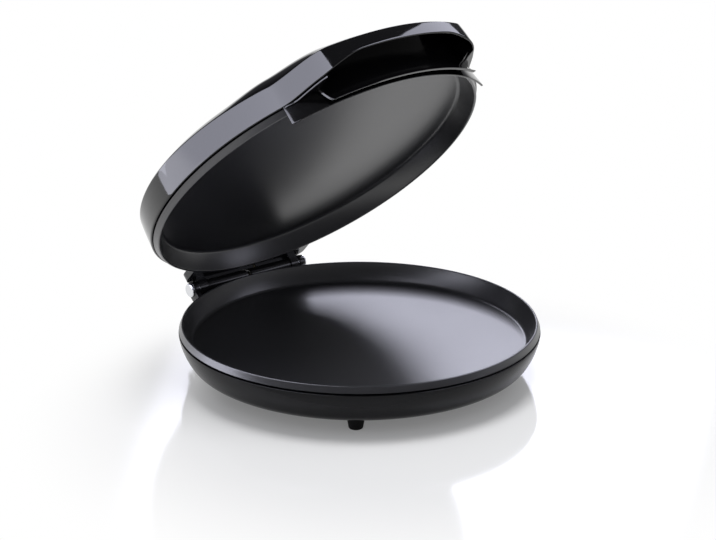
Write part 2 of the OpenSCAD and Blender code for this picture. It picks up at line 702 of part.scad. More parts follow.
// One section of the skin at angle p, from the edge to near the crown
function skin_section(p, inset) = concat(
  [for (k = [0 : band_rows]) let (t = k / band_rows)
    [edge_r(p) - inset + (crest_r(p) - edge_r(p)) * t + band_bow * sin(180 * t),
     edge_h(p) + (crest_h(p) - edge_h(p)) * t]],
  [for (k = [1 : dome_rows - 1]) let (f = cos(90 * k / dome_rows))
    [(crest_r(p) - inset) * f, dome_rise(p, f, inset)]]);

function skin_point(p, q) = [-q[0] * sin(p), -q[0] * cos(p), parting_z + q[1]];

module lid_skin() {
  rows = dome_rows + band_rows;
  turns = len(skin_angles);
  points = concat(
    [for (inset = [0, lid_wall], p = skin_angles) each [for (q = skin_section(p, inset)) skin_point(p, q)]],
    [[0, 0, parting_z + crown_h], [0, 0, parting_z + crown_h - lid_wall]]);
  function at(side, i, j) = (side * turns + i % turns) * rows + j;
  top = 2 * rows * turns;
  faces = concat(
    [for (i = [0 : turns - 1], j = [0 : rows - 2]) each [
      [at(0, i, j), at(0, i, j + 1), at(0, i + 1, j + 1)], [at(0, i, j), at(0, i + 1, j + 1), at(0, i + 1, j)],
      [at(1, i, j), at(1, i + 1, j + 1), at(1, i, j + 1)], [at(1, i, j), at(1, i + 1, j), at(1, i + 1, j + 1)]]],
    [for (i = [0 : turns - 1]) each [
      [at(0, i, 0), at(0, i + 1, 0), at(1, i + 1, 0)], [at(0, i, 0), at(1, i + 1, 0), at(1, i, 0)],
      [at(0, i, rows - 1), top, at(0, i + 1, rows - 1)], [at(1, i, rows - 1), at(1, i + 1, rows - 1), top + 1]]]);
  polyhedron(points = points, faces = faces, convexity = 6);
}

lamp_r = 4;
lamp_y = 15 - lid_r;
lamp_x = 12;

// Height of the dome's outer skin at a distance from the axis, clear of the visor's sides
function dome_h(r, p) = dome_rise(p, r / crest_r(p), 0);

// Domed shell with the raised visor and the lamp holes
module lid_shell() {
  color("#0c0c0e") swing() difference() {
    lid_skin();
    for (s = [-1, 1]) translate([s * lamp_x, lamp_y, parting_z + crest_h(0)])
      cylinder(r = lamp_r + 0.1, h = crown_h, $fn = 32);
  }
}

// Studs inside the shell that carry the reflector, and with it the upper plate
module shell_studs() {
  foot = upper_lip_z + reflector_drop + reflector_t;
  roof = parting_z + dome_rise(90, (stud_circle_r + column_r) / (crest_r(90) - lid_wall), lid_wall) - seat;
  color("#0c0c0e") swing() quarters(stud_circle_r, 0) {
    translate([0, 0, foot]) cylinder(r = column_r, h = roof - foot, $fn = 32);
    translate([0, 0, foot - 4]) cylinder(r = stud_r, h = 5, $fn = 32);
  }
}

// Push-on nuts under the reflector that lock the shell's studs
module reflector_nuts() {
  color("#b9bab8") above_upper_lip() quarters(stud_circle_r, 0)
    translate([0, 0, -reflector_drop + seat]) difference() {
      cylinder(r = 5, h = 0.8, $fn = 48);
      translate([0, 0, -1]) cylinder(r = stud_r + 0.05, h = 3, $fn = 32);
    }
}

// Screws through the reflector into the upper plate's bosses
module plate_screws() {
  color("#b4b6b8") above_upper_lip() quarters(screw_circle_r)
    translate([0, 0, -reflector_drop - reflector_t])
      pan_screw(screw_r, reflector_drop + reflector_t - boss_face + pilot_depth - 1.5, screw_head_r, screw_head_h - 0.6);
}

lens_lift = 1.2;
lens_cup_h = 5;       // socket under the lens for its lamp capsule
capsule_r = 2.5;
capsule_len = 7.5;

// A lamp lens: a domed button with a flange under the shell
module lamp_lens(x) {
  top = parting_z + dome_h(-lamp_y, 0) + lens_lift;
  flange = parting_z + dome_h(-lamp_y + lamp_r + 2, 0) - lid_wall - 1.6;
  swing() translate([x, lamp_y, 0]) {
    translate([0, 0, flange]) cylinder(r = lamp_r - 0.1, h = top - 1 - flange, $fn = 48);
    translate([0, 0, top - 1]) rotate_extrude($fn = 48)
      polygon(concat([[0, -0.5], [lamp_r - 0.1, -0.5]], arc([lamp_r - 1.1, 0], 1, 0, 90, 4), [[0, 1]]));
    translate([0, 0, flange]) cylinder(r = lamp_r + 1.2, h = 1, $fn = 48);
    translate([0, 0, flange - lens_cup_h]) difference() {
      cylinder(r = lamp_r - 0.4, h = lens_cup_h + 0.2, $fn = 48);
      translate([0, 0, -1]) cylinder(r = capsule_r + seat, h = lens_cup_h, $fn = 32);
    }
  }
}
module power_lens() { color("#c81e12") lamp_lens(-lamp_x); }
module ready_lens() { color("#1f9a3d") lamp_lens(lamp_x); }

// Neon capsules pushed up into the lenses
module lamp_capsules() {
  flange = parting_z + dome_h(-lamp_y + lamp_r + 2, 0) - lid_wall - 1.6;
  color("#e8e2d8") swing() for (s = [-1, 1])
    translate([s * lamp_x, lamp_y, flange - 1 - 2 * seat - capsule_r - capsule_len]) {
      cylinder(r = capsule_r, h = capsule_len, $fn = 32);
      translate([0, 0, capsule_len]) sphere(r = capsule_r, $fn = 32);
    }
}

// -- Front skirts --

skirt_t = 1.9;
web_t = 2;
scoop_in = 10.5;      // how far the grip's scoop leans in at its top
scoop_top = 34;       // height of the scoop's top above the parting plane
grip_splay = 6;       // how much farther out the grip's ends are at the band's top
end_t = 2;            // thickness of those ends

// Turns a profile given in (r, height above the parting plane) through an angle about the front
module front_sweep(half) {
  translate([0, 0, parting_z]) rotate(-90 - half) rotate_extrude(angle = 2 * half, $fn = 180) children();
}

// Inner skirt that covers the front of the base's rim, with the webs that close the visor's ends
module rim_guard() {
  top = lid_edge - 0.3;
  inner_top = apron_r + 0.6;
  flare = 2.8;
  web_steps = 8;
  web_start = grip_half - 3;
  web_end = guard_half - 0.5;
  color("#0c0c0e") swing() {
    front_sweep(guard_half) polygon([
      [inner_top, top], [inner_top + flare * 0.75, -skirt_drop * 0.6], [inner_top + flare, -skirt_drop],
      [inner_top + flare + skirt_t, -skirt_drop], [inner_top + flare * 0.75 + skirt_t, -skirt_drop * 0.6],
      [inner_top + skirt_t, top]]);
    difference() {
      for (s = [-1, 1]) translate([0, 0, parting_z + top - web_t]) linear_extrude(web_t) polygon(concat(
        [for (i = [0 : web_steps]) let (p = web_start + (web_end - web_start) * i / web_steps)
          max(edge_r(p) - lid_wall - 0.3, inner_top + skirt_t + 1.2) * [s * sin(p), -cos(p)]],
        [for (i = [web_steps : -1 : 0]) let (p = web_start + (web_end - web_start) * i / web_steps)
          (inner_top + skirt_t * 0.5) * [s * sin(p), -cos(p)]]));
      between_ends(-2 * seat);
    }
  }
}

// What lies between the grip's two slanted ends, moved in by inset
module between_ends(inset) {
  low = grip_r * sin(grip_half - 1) - inset;
  high = low + grip_splay;
  translate([0, 0, parting_z]) rotate([90, 0, 0]) linear_extrude(grip_r + visor_reach) polygon([
    [-low, -skirt_drop - 1], [low, -skirt_drop - 1], [high, lid_edge + band_h], [-high, lid_edge + band_h]]);
}

// Scooped outer skirt: the wall that the fingers pull on, with a web and two end walls
module finger_grip() {
  top = lid_edge - 0.3;
  steps = 7;
  swept = grip_half + 8;
  scoop = [for (i = [0 : steps]) let (t = i / steps)
    [grip_r - scoop_in * sin(90 * t), -skirt_drop + (scoop_top + skirt_drop) * (1 - cos(90 * t))]];
  web_in = apron_r + 0.6 + skirt_t + 0.9;
  web_out = grip_r - scoop_in * 0.88;
  visor_in = edge_r(grip_half - 0.5) - lid_wall - 0.4;
  visor_top = crest_r(grip_half + 0.3) - lid_wall - 0.4;
  color("#0c0c0e") swing() {
    intersection() {
      union() {
        front_sweep(swept) polygon(concat(scoop, [for (i = [steps : -1 : 0]) scoop[i] - [skirt_t, 0]]));
        front_sweep(swept) polygon([[web_in, top - web_t], [web_out, top - web_t], [web_out, top], [web_in, top]]);
      }
      between_ends(0);
    }
    intersection() {
      front_sweep(swept) polygon([
        [web_out - 2, top - web_t], [visor_in, top], [visor_top, crest_h(grip_half) - 1],
        [grip_r - scoop_in, scoop_top - 0.6], [grip_r - scoop_in - skirt_t, scoop_top - 0.6]]);
      difference() { between_ends(0); between_ends(end_t); }
    }
  }
}

// Leads from the barrel through the hood and the shell's notch to the upper heater
module lid_wiring() {
  notch_z = parting_z + hood_top - 5;
  lead_z = upper_lip_z + heater_axis;
  color("#c9b391") swing() {
    round_bar([
      [barrel_gap / 2 + seat, hinge_y, hinge_z], [link_x, hinge_y, hinge_z], [link_x, hinge_y, notch_z],
      [link_x, apron_r - 2.5, notch_z], [link_x, apron_r - 7.5, lead_z],
      [heater_pin_end.x - 1.5, heater_pin_end.y + 0.3, lead_z]], wire_r);
    round_bar([
      [link_x - wire_r - 1.2, plate_r - 11, lead_z], [-link_x - 8, plate_r - 15, lead_z],
      [-heater_pin_end.x + 1.5, heater_pin_end.y + 0.3, lead_z]], wire_r);
  }
}

base_housing();
foot_front_left();
foot_front_right();
foot_rear_left();
foot_rear_right();
lower_plate();
base_screws();
lower_heater();
lower_heater_clips();
lower_clip_screws();
lower_thermostat();
lower_thermal_fuse();
lower_reflector();
terminal_block();
base_wiring();
cord_bush();
hinge_ear_left();
hinge_ear_right();
ear_screws();
hinge_caps();
lid_shell();
shell_studs();
rim_guard();
finger_grip();
hinge_cover();
hinge_pin_left();
hinge_pin_right();
hinge_washers();
hinge_barrel_left();
hinge_barrel_right();
upper_plate();
plate_screws();
upper_heater();
upper_heater_clips();
upper_clip_screws();
upper_thermostat();
upper_thermal_fuse();
upper_reflector();
reflector_nuts();
lid_wiring();
power_lens();
ready_lens();
lamp_capsules();
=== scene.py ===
"""Smooth surfaces, finishes, light and camera for the hinged electric pizza maker.

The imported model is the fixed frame. Each class below is one sub-assembly: it holds its
sizes in millimetres, works out its surfaces as whole arrays, and dresses what it builds.
Everything that belongs to the lid is drawn closed and then swung open about the hinge.
"""

from __future__ import annotations

import logging
import math
from dataclasses import dataclass
from enum import Enum
from typing import Any, Callable, Mapping, Sequence

import bpy
import numpy as np
from mathutils import Matrix, Vector

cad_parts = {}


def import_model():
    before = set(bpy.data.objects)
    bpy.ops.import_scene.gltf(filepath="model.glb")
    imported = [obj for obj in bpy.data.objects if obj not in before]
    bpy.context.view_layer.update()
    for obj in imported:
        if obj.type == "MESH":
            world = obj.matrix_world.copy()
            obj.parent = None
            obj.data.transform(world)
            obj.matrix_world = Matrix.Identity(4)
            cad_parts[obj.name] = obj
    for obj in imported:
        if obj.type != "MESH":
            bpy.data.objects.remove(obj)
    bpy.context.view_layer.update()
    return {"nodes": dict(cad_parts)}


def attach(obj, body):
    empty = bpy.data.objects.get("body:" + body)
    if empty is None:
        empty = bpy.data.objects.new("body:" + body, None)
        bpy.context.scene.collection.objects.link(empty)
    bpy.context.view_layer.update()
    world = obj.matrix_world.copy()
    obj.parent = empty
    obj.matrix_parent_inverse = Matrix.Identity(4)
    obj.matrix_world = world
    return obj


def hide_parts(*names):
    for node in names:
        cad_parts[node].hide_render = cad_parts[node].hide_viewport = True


LOG = logging.getLogger("pizza_maker")
Array = np.ndarray
Triple = tuple[float, float, float]
MM = 0.001
WHITE = (1.0, 1.0, 1.0)
# Numbers of the colour sockets on a Mix node: its factor, its two colours and its result.
MIX_FACTOR, MIX_FIRST, MIX_SECOND, MIX_RESULT = 0, 6, 7, 2


class Body(Enum):
    """The two rigid bodies of the part."""

    BASE = "base"
    LID = "lid"


# ---------------------------------------------------------------- shader arithmetic


def _operator(operation: str, reflected: bool = False) -> Callable[["Wire", Any], "Wire"]:
    """A method of Wire for one operator.

    Args:
        operation: the Math node's operation.
        reflected: whether the other value comes first.

    Returns:
        The method.
    """

    def method(self: "Wire", other: Any) -> "Wire":
        """The result as a new wire."""
        return self.math(operation, *((other, self) if reflected else (self, other)))

    return method


class Wire:
    """An output socket that takes part in arithmetic, one Math node for each operator."""

    def __init__(self, tree: "Tree", socket: bpy.types.NodeSocket) -> None:
        """Wraps an output socket of a tree."""
        self.tree, self.socket = tree, socket

    def math(self, operation: str, *values: Any, clamp: bool = False) -> "Wire":
        """Adds one Math node and returns its output."""
        settings = {"operation": operation, "use_clamp": clamp}
        return self.tree.wire("ShaderNodeMath", settings, dict(enumerate(values)))

    __add__ = __radd__ = _operator("ADD")
    __sub__, __rsub__ = _operator("SUBTRACT"), _operator("SUBTRACT", reflected=True)
    __mul__ = __rmul__ = _operator("MULTIPLY")
    __pow__, __rpow__ = _operator("POWER"), _operator("POWER", reflected=True)

    def clamped(self) -> "Wire":
        """The value held between 0 and 1."""
        return self.math("ADD", self, 0.0, clamp=True)

    def at_least(self, level: float) -> "Wire":
        """The value, or a level where the value is below it."""
        return self.math("MAXIMUM", self, level)

    def sine(self) -> "Wire":
        """The sine of the value in radians."""
        return self.math("SINE", self)

    def eased(self, low: float, high: float) -> "Wire":
        """0 below low, 1 above high, and a smooth step between them."""
        sockets = {"Value": self, "From Min": low, "From Max": high}
        return self.tree.wire("ShaderNodeMapRange", {"interpolation_type": "SMOOTHSTEP"}, sockets)


class Tree:
    """A node tree with one method that adds any node."""

    def __init__(self, graph: bpy.types.NodeTree) -> None:
        """Empties a node tree and takes it over."""
        self.graph = graph
        graph.nodes.clear()

    def node(
        self,
        kind: str,
        settings: Mapping[str, Any] | None = None,
        sockets: Mapping[str | int, Any] | None = None,
    ) -> bpy.types.Node:
        """Adds a node, sets it up, then fills or links its inputs.

        Args:
            kind: the node's type name.
            settings: its own settings; "stops" fills a colour ramp.
            sockets: values, wires or sockets for its inputs, by name or number.

        Returns:
            The new node.
        """
        made = self.graph.nodes.new(kind)
        for name, value in (settings or {}).items():
            if name == "stops":
                self._fill_ramp(made.color_ramp, value)
            else:
                setattr(made, name, value)
        for name, value in (sockets or {}).items():
            target = made.inputs[name]
            value = value.socket if isinstance(value, Wire) else value
            if isinstance(value, bpy.types.NodeSocket):
                self.graph.links.new(value, target)
            elif target.type == "RGBA":
                target.default_value = (*value, 1.0)
            else:
                target.default_value = value
        return made

    @staticmethod
    def _fill_ramp(ramp: bpy.types.ColorRamp, stops: Sequence[tuple[float, Triple]]) -> None:
        """Gives a colour ramp its stops.

        Args:
            ramp: the ramp of a new node.
            stops: positions and colours, in rising order.
        """
        while len(ramp.elements) < len(stops):
            ramp.elements.new(1.0)
        for element, (place, colour) in zip(ramp.elements, stops):
            element.position, element.color = place, (*colour, 1.0)

    def wire(
        self,
        kind: str,
        settings: Mapping[str, Any] | None = None,
        sockets: Mapping[str | int, Any] | None = None,
        output: str | int = 0,
    ) -> Wire:
        """Adds a node as node() does, and wraps one of its outputs."""
        return Wire(self, self.node(kind, settings, sockets).outputs[output])

    def place(self, scale: Triple | None = None) -> Wire:
        """Object coordinates, scaled by a Mapping node where a scale is given."""
        here = self.wire("ShaderNodeTexCoord", output="Object")
        return here if scale is None else self.wire("ShaderNodeMapping", None, {0: here, "Scale": scale})

    def axes(self, vector: Wire) -> list[Wire]:
        """The x, y and z of a vector."""
        parts = self.node("ShaderNodeSeparateXYZ", None, {"Vector": vector})
        return [Wire(self, out) for out in parts.outputs]

    def noise(
        self, scale: float, detail: float = 2.0, rough: float = 0.5, stretch: Triple | None = None
    ) -> Wire:
        """Noise from 0 to 1.

        Args:
            scale: features to the metre.
            detail: how many finer layers are added.
            rough: how strong each finer layer is.
            stretch: scale of the coordinates along each axis.

        Returns:
            The noise.
        """
        sockets = {"Vector": self.place(stretch), "Scale": scale, "Detail": detail, "Roughness": rough}
        return self.wire("ShaderNodeTexNoise", {"noise_dimensions": "3D"}, sockets)

    def cells(self, scale: float, feature: str = "F1") -> Wire:
        """Distance in a Voronoi pattern with `scale` cells to the metre."""
        sockets = {"Vector": self.place(), "Scale": scale}
        return self.wire("ShaderNodeTexVoronoi", {"feature": feature}, sockets, "Distance")

    def blend(self, share: Wire | float, first: Wire | Triple, second: Wire | Triple) -> Wire:
        """Mixes two colours by a share from 0 to 1."""
        sockets = {MIX_FACTOR: share, MIX_FIRST: first, MIX_SECOND: second}
        return self.wire("ShaderNodeMix", {"data_type": "RGBA"}, sockets, MIX_RESULT)

    def bump(self, height: Wire, depth_mm: float, strength: float) -> Wire:
        """A bumped normal from a height of 0 to 1 that is depth_mm deep."""
        sockets = {"Height": height, "Distance": depth_mm * MM, "Strength": strength}
        return self.wire("ShaderNodeBump", None, sockets)

    def shine(self, kind: str, colour: Wire | Triple, strength: Wire | float = 1.0) -> Wire:
        """The light of an Emission or Background node."""
        return self.wire(f"ShaderNode{kind}", None, {"Color": colour, "Strength": strength})

    def mixed(self, share: Wire, first: Wire, second: Wire) -> Wire:
        """Mixes two shaders by a share from 0 to 1."""
        return self.wire("ShaderNodeMixShader", None, {0: share, 1: first, 2: second})

    def surface(self, kind: str, shader: Wire) -> None:
        """Ends the tree of a Material, World or Light in its output node."""
        self.node(f"ShaderNodeOutput{kind}", None, {"Surface": shader})


# ---------------------------------------------------------------- finishes


def tone(colour: Triple, gain: float | Triple, lift: float = 0.0) -> Triple:
    """A colour times a gain, plus a lift."""
    return tuple((np.asarray(colour) * gain + lift).tolist())


@dataclass(frozen=True)
class Finish:
    """A finish: the constants of its shader. A subclass adds what varies over the surface."""

    name: str
    colour: Triple
    roughness: float = 0.4
    specular: float = 0.5
    metallic: float = 0.0
    coat: float = 0.0
    coat_roughness: float = 0.05

    def material(self) -> bpy.types.Material:
        """Makes the node material the first time it is asked for.

        Returns:
            The material of this finish.
        """
        known = bpy.data.materials.get(self.name)
        if known is not None:
            return known
        made = bpy.data.materials.new(self.name)
        made.use_nodes = True
        tree = Tree(made.node_tree)
        sockets = {
            "Base Color": self.colour,
            "Roughness": self.roughness,
            "Metallic": self.metallic,
            "Specular IOR Level": self.specular,
            "Coat Weight": self.coat,
            "Coat Roughness": self.coat_roughness,
            **dict(zip(("Base Color", "Roughness", "Normal"), self.vary(tree))),
        }
        tree.surface("Material", tree.wire("ShaderNodeBsdfPrincipled", None, sockets))
        made.diffuse_color = (*self.colour, 1.0)
        return made

    def vary(self, tree: Tree) -> Sequence[Wire]:
        """Base colour, roughness and normal as they change over the surface."""
        return ()


@dataclass(frozen=True)
class PolishedMoulding(Finish):
    """Polished thermoset: deep gloss, a faint orange peel, wiped smears and settled dust."""

    smear: float = 0.07

    def vary(self, tree: Tree) -> Sequence[Wire]:
        """Smears raise the roughness; dust specks lift the colour; the peel bends the gloss.

        Args:
            tree: the material's node tree.

        Returns:
            Base colour, roughness and normal.
        """
        smears = tree.noise(18.0, 4.0, 0.55, stretch=(1.0, 1.0, 2.4)).eased(0.52, 0.78)
        dust = tree.cells(420.0).eased(0.10, 0.02) * tree.noise(60.0).eased(0.58, 0.70)
        colour = tree.blend(dust * 0.55, self.colour, tone(self.colour, 3.0, 0.05))
        fine = tree.noise(240.0, 3.0) * 0.02
        rough = self.roughness + smears * self.smear + fine + dust * 0.15
        return colour, rough, tree.bump(tree.noise(330.0, 1.5), 0.012, 0.5)


@dataclass(frozen=True)
class GrainedMoulding(Finish):
    """Satin plastic from a spark-eroded mould: a fine even grain and slight tone changes."""

    grain_scale: float = 2600.0
    grain_depth: float = 0.02

    def vary(self, tree: Tree) -> Sequence[Wire]:
        """Two sizes of grain in the bump, and slow drifts of tone and gloss.

        Args:
            tree: the material's node tree.

        Returns:
            Base colour, roughness and normal.
        """
        grain = tree.noise(self.grain_scale, 2.0, 0.6) * 0.7 + tree.cells(self.grain_scale * 0.6) * 0.3
        drift = tree.noise(14.0, 3.0)
        share = (drift * 0.5 + grain * 0.3).clamped()
        colour = tree.blend(share, self.colour, tone(self.colour, 1.5, 0.004))
        rough = self.roughness + (drift - 0.5) * 0.12 + (grain - 0.5) * 0.10
        return colour, rough, tree.bump(grain, self.grain_depth, 0.7)


@dataclass(frozen=True)
class NonStickCoating(Finish):
    """Sprayed non-stick coat: matt charcoal with mica flecks, a sprayed texture and clouds."""

    def vary(self, tree: Tree) -> Sequence[Wire]:
        """Flecks lighten the colour, and the sprayed texture breaks up the sheen.

        Args:
            tree: the material's node tree.

        Returns:
            Base colour, roughness and normal.
        """
        flecks = tree.cells(1500.0).eased(0.16, 0.05) * tree.noise(700.0, 1.0).eased(0.50, 0.64)
        cloud, spray = tree.noise(9.0, 4.0, 0.6), tree.noise(1500.0, 3.0, 0.6)
        base = tree.blend(cloud, self.colour, tone(self.colour, 1.35))
        colour = tree.blend(flecks * 0.6, base, tone(self.colour, 2.4, 0.02))
        rough = self.roughness + (cloud - 0.5) * 0.08 + (spray - 0.5) * 0.12
        return colour, rough, tree.bump(spray * 0.8 + tree.noise(300.0) * 0.2, 0.03, 0.55)


@dataclass(frozen=True)
class MouldedRubber(Finish):
    """Soft rubber: matt, with a bloom that greys it in patches."""

    def vary(self, tree: Tree) -> Sequence[Wire]:
        """Bloom lifts the colour; a fine skin keeps it dull.

        Args:
            tree: the material's node tree.

        Returns:
            Base colour, roughness and normal.
        """
        bloom = tree.noise(120.0, 4.0, 0.65).eased(0.45, 0.8)
        colour = tree.blend(bloom * 0.6, self.colour, tone(self.colour, 1.0, 0.010))
        return colour, self.roughness + bloom * 0.1, tree.bump(tree.noise(1800.0), 0.03, 0.6)


@dataclass(frozen=True)
class HeatTintedSteel(Finish):
    """Heater sheath: drawn steel browned and blued by heat, with fine draw lines."""

    stops: tuple[tuple[float, Triple], ...] = (
        (0.25, (0.26, 0.25, 0.24)),
        (0.48, (0.30, 0.23, 0.15)),
        (0.62, (0.19, 0.13, 0.12)),
        (0.80, (0.12, 0.13, 0.18)),
    )

    def vary(self, tree: Tree) -> Sequence[Wire]:
        """A ramp of heat colours over slow noise, and fine lines in the bump.

        Args:
            tree: the material's node tree.

        Returns:
            Base colour, roughness and normal.
        """
        heat, lines = tree.noise(22.0, 4.0, 0.6), tree.noise(900.0, 3.0, 0.7)
        tint = tree.wire("ShaderNodeValToRGB", {"stops": self.stops}, {"Fac": heat})
        return tint, self.roughness + (lines - 0.5) * 0.25, tree.bump(lines, 0.02, 0.5)


@dataclass(frozen=True)
class PlatedSteel(Finish):
    """Zinc plate or ground steel: bright, with a faint straw and blue cast and fine scratches."""

    cast: float = 0.35
    straw: Triple = (1.0, 0.92, 0.74)
    blue: Triple = (0.86, 0.94, 1.0)

    def vary(self, tree: Tree) -> Sequence[Wire]:
        """The cast tints the metal; scratches run along one way and vary the roughness.

        Args:
            tree: the material's node tree.

        Returns:
            Base colour, roughness and normal.
        """
        patches = tree.noise(160.0, 3.0).eased(0.35, 0.7)
        tint = tree.blend(patches, tone(self.colour, self.straw), tone(self.colour, self.blue))
        scratches = tree.noise(500.0, 3.0, 0.6, stretch=(1.0, 1.0, 9.0))
        rough = self.roughness + (scratches - 0.5) * 0.22
        return tree.blend(self.cast, self.colour, tint), rough, tree.bump(scratches, 0.01, 0.4)


@dataclass(frozen=True)
class RolledSheet(Finish):
    """Rolled aluminium sheet: long mill lines and a few dull patches."""

    def vary(self, tree: Tree) -> Sequence[Wire]:
        """Mill lines are noise stretched along one way.

        Args:
            tree: the material's node tree.

        Returns:
            Base colour, roughness and normal.
        """
        lines = tree.noise(140.0, 4.0, 0.7, stretch=(0.06, 5.0, 1.0))
        dull = tree.noise(25.0, 3.0).eased(0.5, 0.8)
        colour = tree.blend(dull * 0.6, self.colour, tone(self.colour, 0.78))
        rough = self.roughness + (lines - 0.5) * 0.2 + dull * 0.18
        return colour, rough, tree.bump(lines, 0.015, 0.5)


@dataclass(frozen=True)
class FiredCeramic(Finish):
    """Unglazed steatite: cream, fine-pored, with a few darker grains."""

    warmth: Triple = (0.97, 0.93, 0.86)

    def vary(self, tree: Tree) -> Sequence[Wire]:
        """Grains darken the colour, and pores pit the surface.

        Args:
            tree: the material's node tree.

        Returns:
            Base colour, roughness and normal.
        """
        grains = tree.cells(900.0).eased(0.14, 0.04) * tree.noise(400.0, 1.0).eased(0.55, 0.65)
        cloud = tree.noise(60.0, 3.0)
        base = tree.blend(cloud, self.colour, tone(self.colour, self.warmth))
        colour = tree.blend(grains * 0.7, base, tone(self.colour, 0.62))
        rough = self.roughness + (cloud - 0.5) * 0.12
        return colour, rough, tree.bump(tree.noise(1400.0, 3.0), 0.04, 0.6)


@dataclass(frozen=True)
class BraidedSleeving(Finish):
    """Heat-proof glass braid: crossing diagonal yarns, with painted shade that darkens the dips between
    them.
    """

    pitch: float = 3200.0

    def vary(self, tree: Tree) -> Sequence[Wire]:
        """The yarns are the product of two sine waves that cross; where they dip, the colour is darker as
        painted shade.

        Args:
            tree: the material's node tree.

        Returns:
            Base colour, roughness and normal.
        """
        x, y, z = tree.axes(tree.place())
        one, two = ((x + y + z) * self.pitch).sine(), ((x - y + z) * self.pitch).sine()
        weave = one * two * 0.5 + 0.5
        # Painted shade: the colour falls to 0.55 of itself where the weave dips between the yarns.
        colour = tree.blend(weave, tone(self.colour, 0.55), self.colour)
        return colour, self.roughness + (weave - 0.5) * 0.1, tree.bump(weave, 0.12, 0.8)


@dataclass(frozen=True)
class MouldedLens(Finish):
    """Coloured clear plastic: glossy, with rings of painted light and shade from its diffusing pattern
    under the surface.
    """

    def vary(self, tree: Tree) -> Sequence[Wire]:
        """Cells under the gloss paint the light and shade that the diffusing pattern inside the lens would
        throw.

        Args:
            tree: the material's node tree.

        Returns:
            Base colour, roughness and normal.
        """
        facets = tree.cells(900.0, "SMOOTH_F1").eased(0.0, 0.6)
        # Painted light and shade: the colour falls to 0.45 of itself at the middle of each cell of the
        # pattern.
        colour = tree.blend(facets, tone(self.colour, 0.45), self.colour)
        return colour, self.roughness + facets * 0.05, tree.bump(tree.noise(500.0, 1.0), 0.01, 0.3)


class Palette:
    """The finishes of the whole object, in the maker's words."""

    shell = PolishedMoulding("polished_black_shell", (0.003, 0.003, 0.0036), 0.045)
    skirt = PolishedMoulding("polished_black_skirt", (0.003, 0.003, 0.0036), 0.08)
    hinge = GrainedMoulding("satin_black_hinge", (0.008, 0.008, 0.0095), 0.20)
    housing = GrainedMoulding(
        "satin_black_housing", (0.0035, 0.0035, 0.0045), 0.20, 0.16, grain_depth=0.010
    )
    coating = NonStickCoating("non_stick_charcoal", (0.017, 0.0172, 0.0205), 0.31, 1.0)
    rubber = MouldedRubber("foot_rubber_black", (0.004, 0.004, 0.004), 0.72, 0.2)
    sheath = HeatTintedSteel("heater_sheath", (0.26, 0.25, 0.24), 0.45, metallic=1.0)
    zinc = PlatedSteel("zinc_plated_steel", (0.62, 0.62, 0.61), 0.32, metallic=1.0)
    ground = PlatedSteel("ground_pin_steel", (0.56, 0.57, 0.58), 0.22, metallic=1.0, cast=0.1)
    cap = PlatedSteel("polished_cap_metal", (0.70, 0.71, 0.73), 0.16, metallic=1.0, cast=0.0)
    sheet = RolledSheet("bright_rolled_sheet", (0.80, 0.81, 0.82), 0.26, metallic=1.0)
    ceramic = FiredCeramic("fired_cream_ceramic", (0.76, 0.71, 0.60), 0.7, 0.4)
    braid = BraidedSleeving("braided_sleeving", (0.20, 0.17, 0.12), 0.85, 0.3)
    red = MouldedLens("red_lamp_lens", (0.50, 0.02, 0.012), 0.08, coat=0.6)
    green = MouldedLens("green_lamp_lens", (0.015, 0.28, 0.05), 0.08, coat=0.6)
    pearl = FiredCeramic("pearl_lamp_capsule", (0.82, 0.78, 0.70), 0.35)


# ---------------------------------------------------------------- surfaces


@dataclass
class Patch:
    """Points in millimetres and the faces that join them."""

    points: Array
    faces: list[list[int]]

    def moved(self, shift: Sequence[float]) -> "Patch":
        """The patch moved by a shift."""
        return Patch(self.points + np.asarray(shift, float), self.faces)

    def mirrored(self, flip: Triple = (-1.0, 1.0, 1.0)) -> "Patch":
        """The patch mirrored, left to right if not told otherwise, with its faces turned to match."""
        return Patch(self.points * flip, [f[::-1] for f in self.faces])

    def with_axes(self, order: Sequence[int]) -> "Patch":
        """The patch with its x, y and z taken from the axes that are numbered in order."""
        return Patch(self.points[:, list(order)], self.faces)

    def outward(self) -> "Patch":
        """The closed patch with its faces pointing outwards.

        The signed volume is a sixth of the sum, over the fan triangles of every face, of
        the triple product of their corners. Where it is negative, every face is turned.

        Returns:
            The patch itself, or a copy with its faces turned.
        """
        fans = np.array([(f[0], f[k], f[k + 1]) for f in self.faces for k in range(1, len(f) - 1)])
        a, b, c = (self.points[fans[:, k]] for k in range(3))
        volume = np.einsum("ij,ij->i", a, np.cross(b, c)).sum()
        return self if volume > 0 else Patch(self.points, [f[::-1] for f in self.faces])


def joined(patches: Sequence[Patch]) -> Patch:
    """One patch made of several, each turned to point outwards.

    Args:
        patches: closed patches.

    Returns:
        The joined patch.
    """
    starts = np.cumsum([0] + [len(p.points) for p in patches])
    faces = [[i + int(s) for i in f] for s, p in zip(starts, patches) for f in p.outward().faces]
    return Patch(np.vstack([p.points for p in patches]), faces)


def ease(low: float, high: float, x: Array) -> Array:
    """Smooth step: with t = (x - low) / (high - low) held to 0..1, it is t * t * (3 - 2 t)."""
    t = np.clip((np.asarray(x, float) - low) / (high - low), 0.0, 1.0)
    return t * t * (3.0 - 2.0 * t)


def arc(centre: Sequence[float], radius: float, start: float, stop: float, steps: int) -> Array:
    """Points on a circle: centre + radius * (cos a, sin a), for a from start to stop degrees."""
    a = np.radians(np.linspace(start, stop, steps + 1))
    return np.asarray(centre, float) + radius * np.column_stack([np.cos(a), np.sin(a)])


def around(r: Array | Sequence[float] | float, angle: Array, h: Array | float) -> Array:
    """Points (-r sin a, -r cos a, h), so that an angle of 0 degrees is the front."""
    r, a = np.asarray(r), np.radians(angle)
    return np.stack(np.broadcast_arrays(-r * np.sin(a), -r * np.cos(a), h), -1)


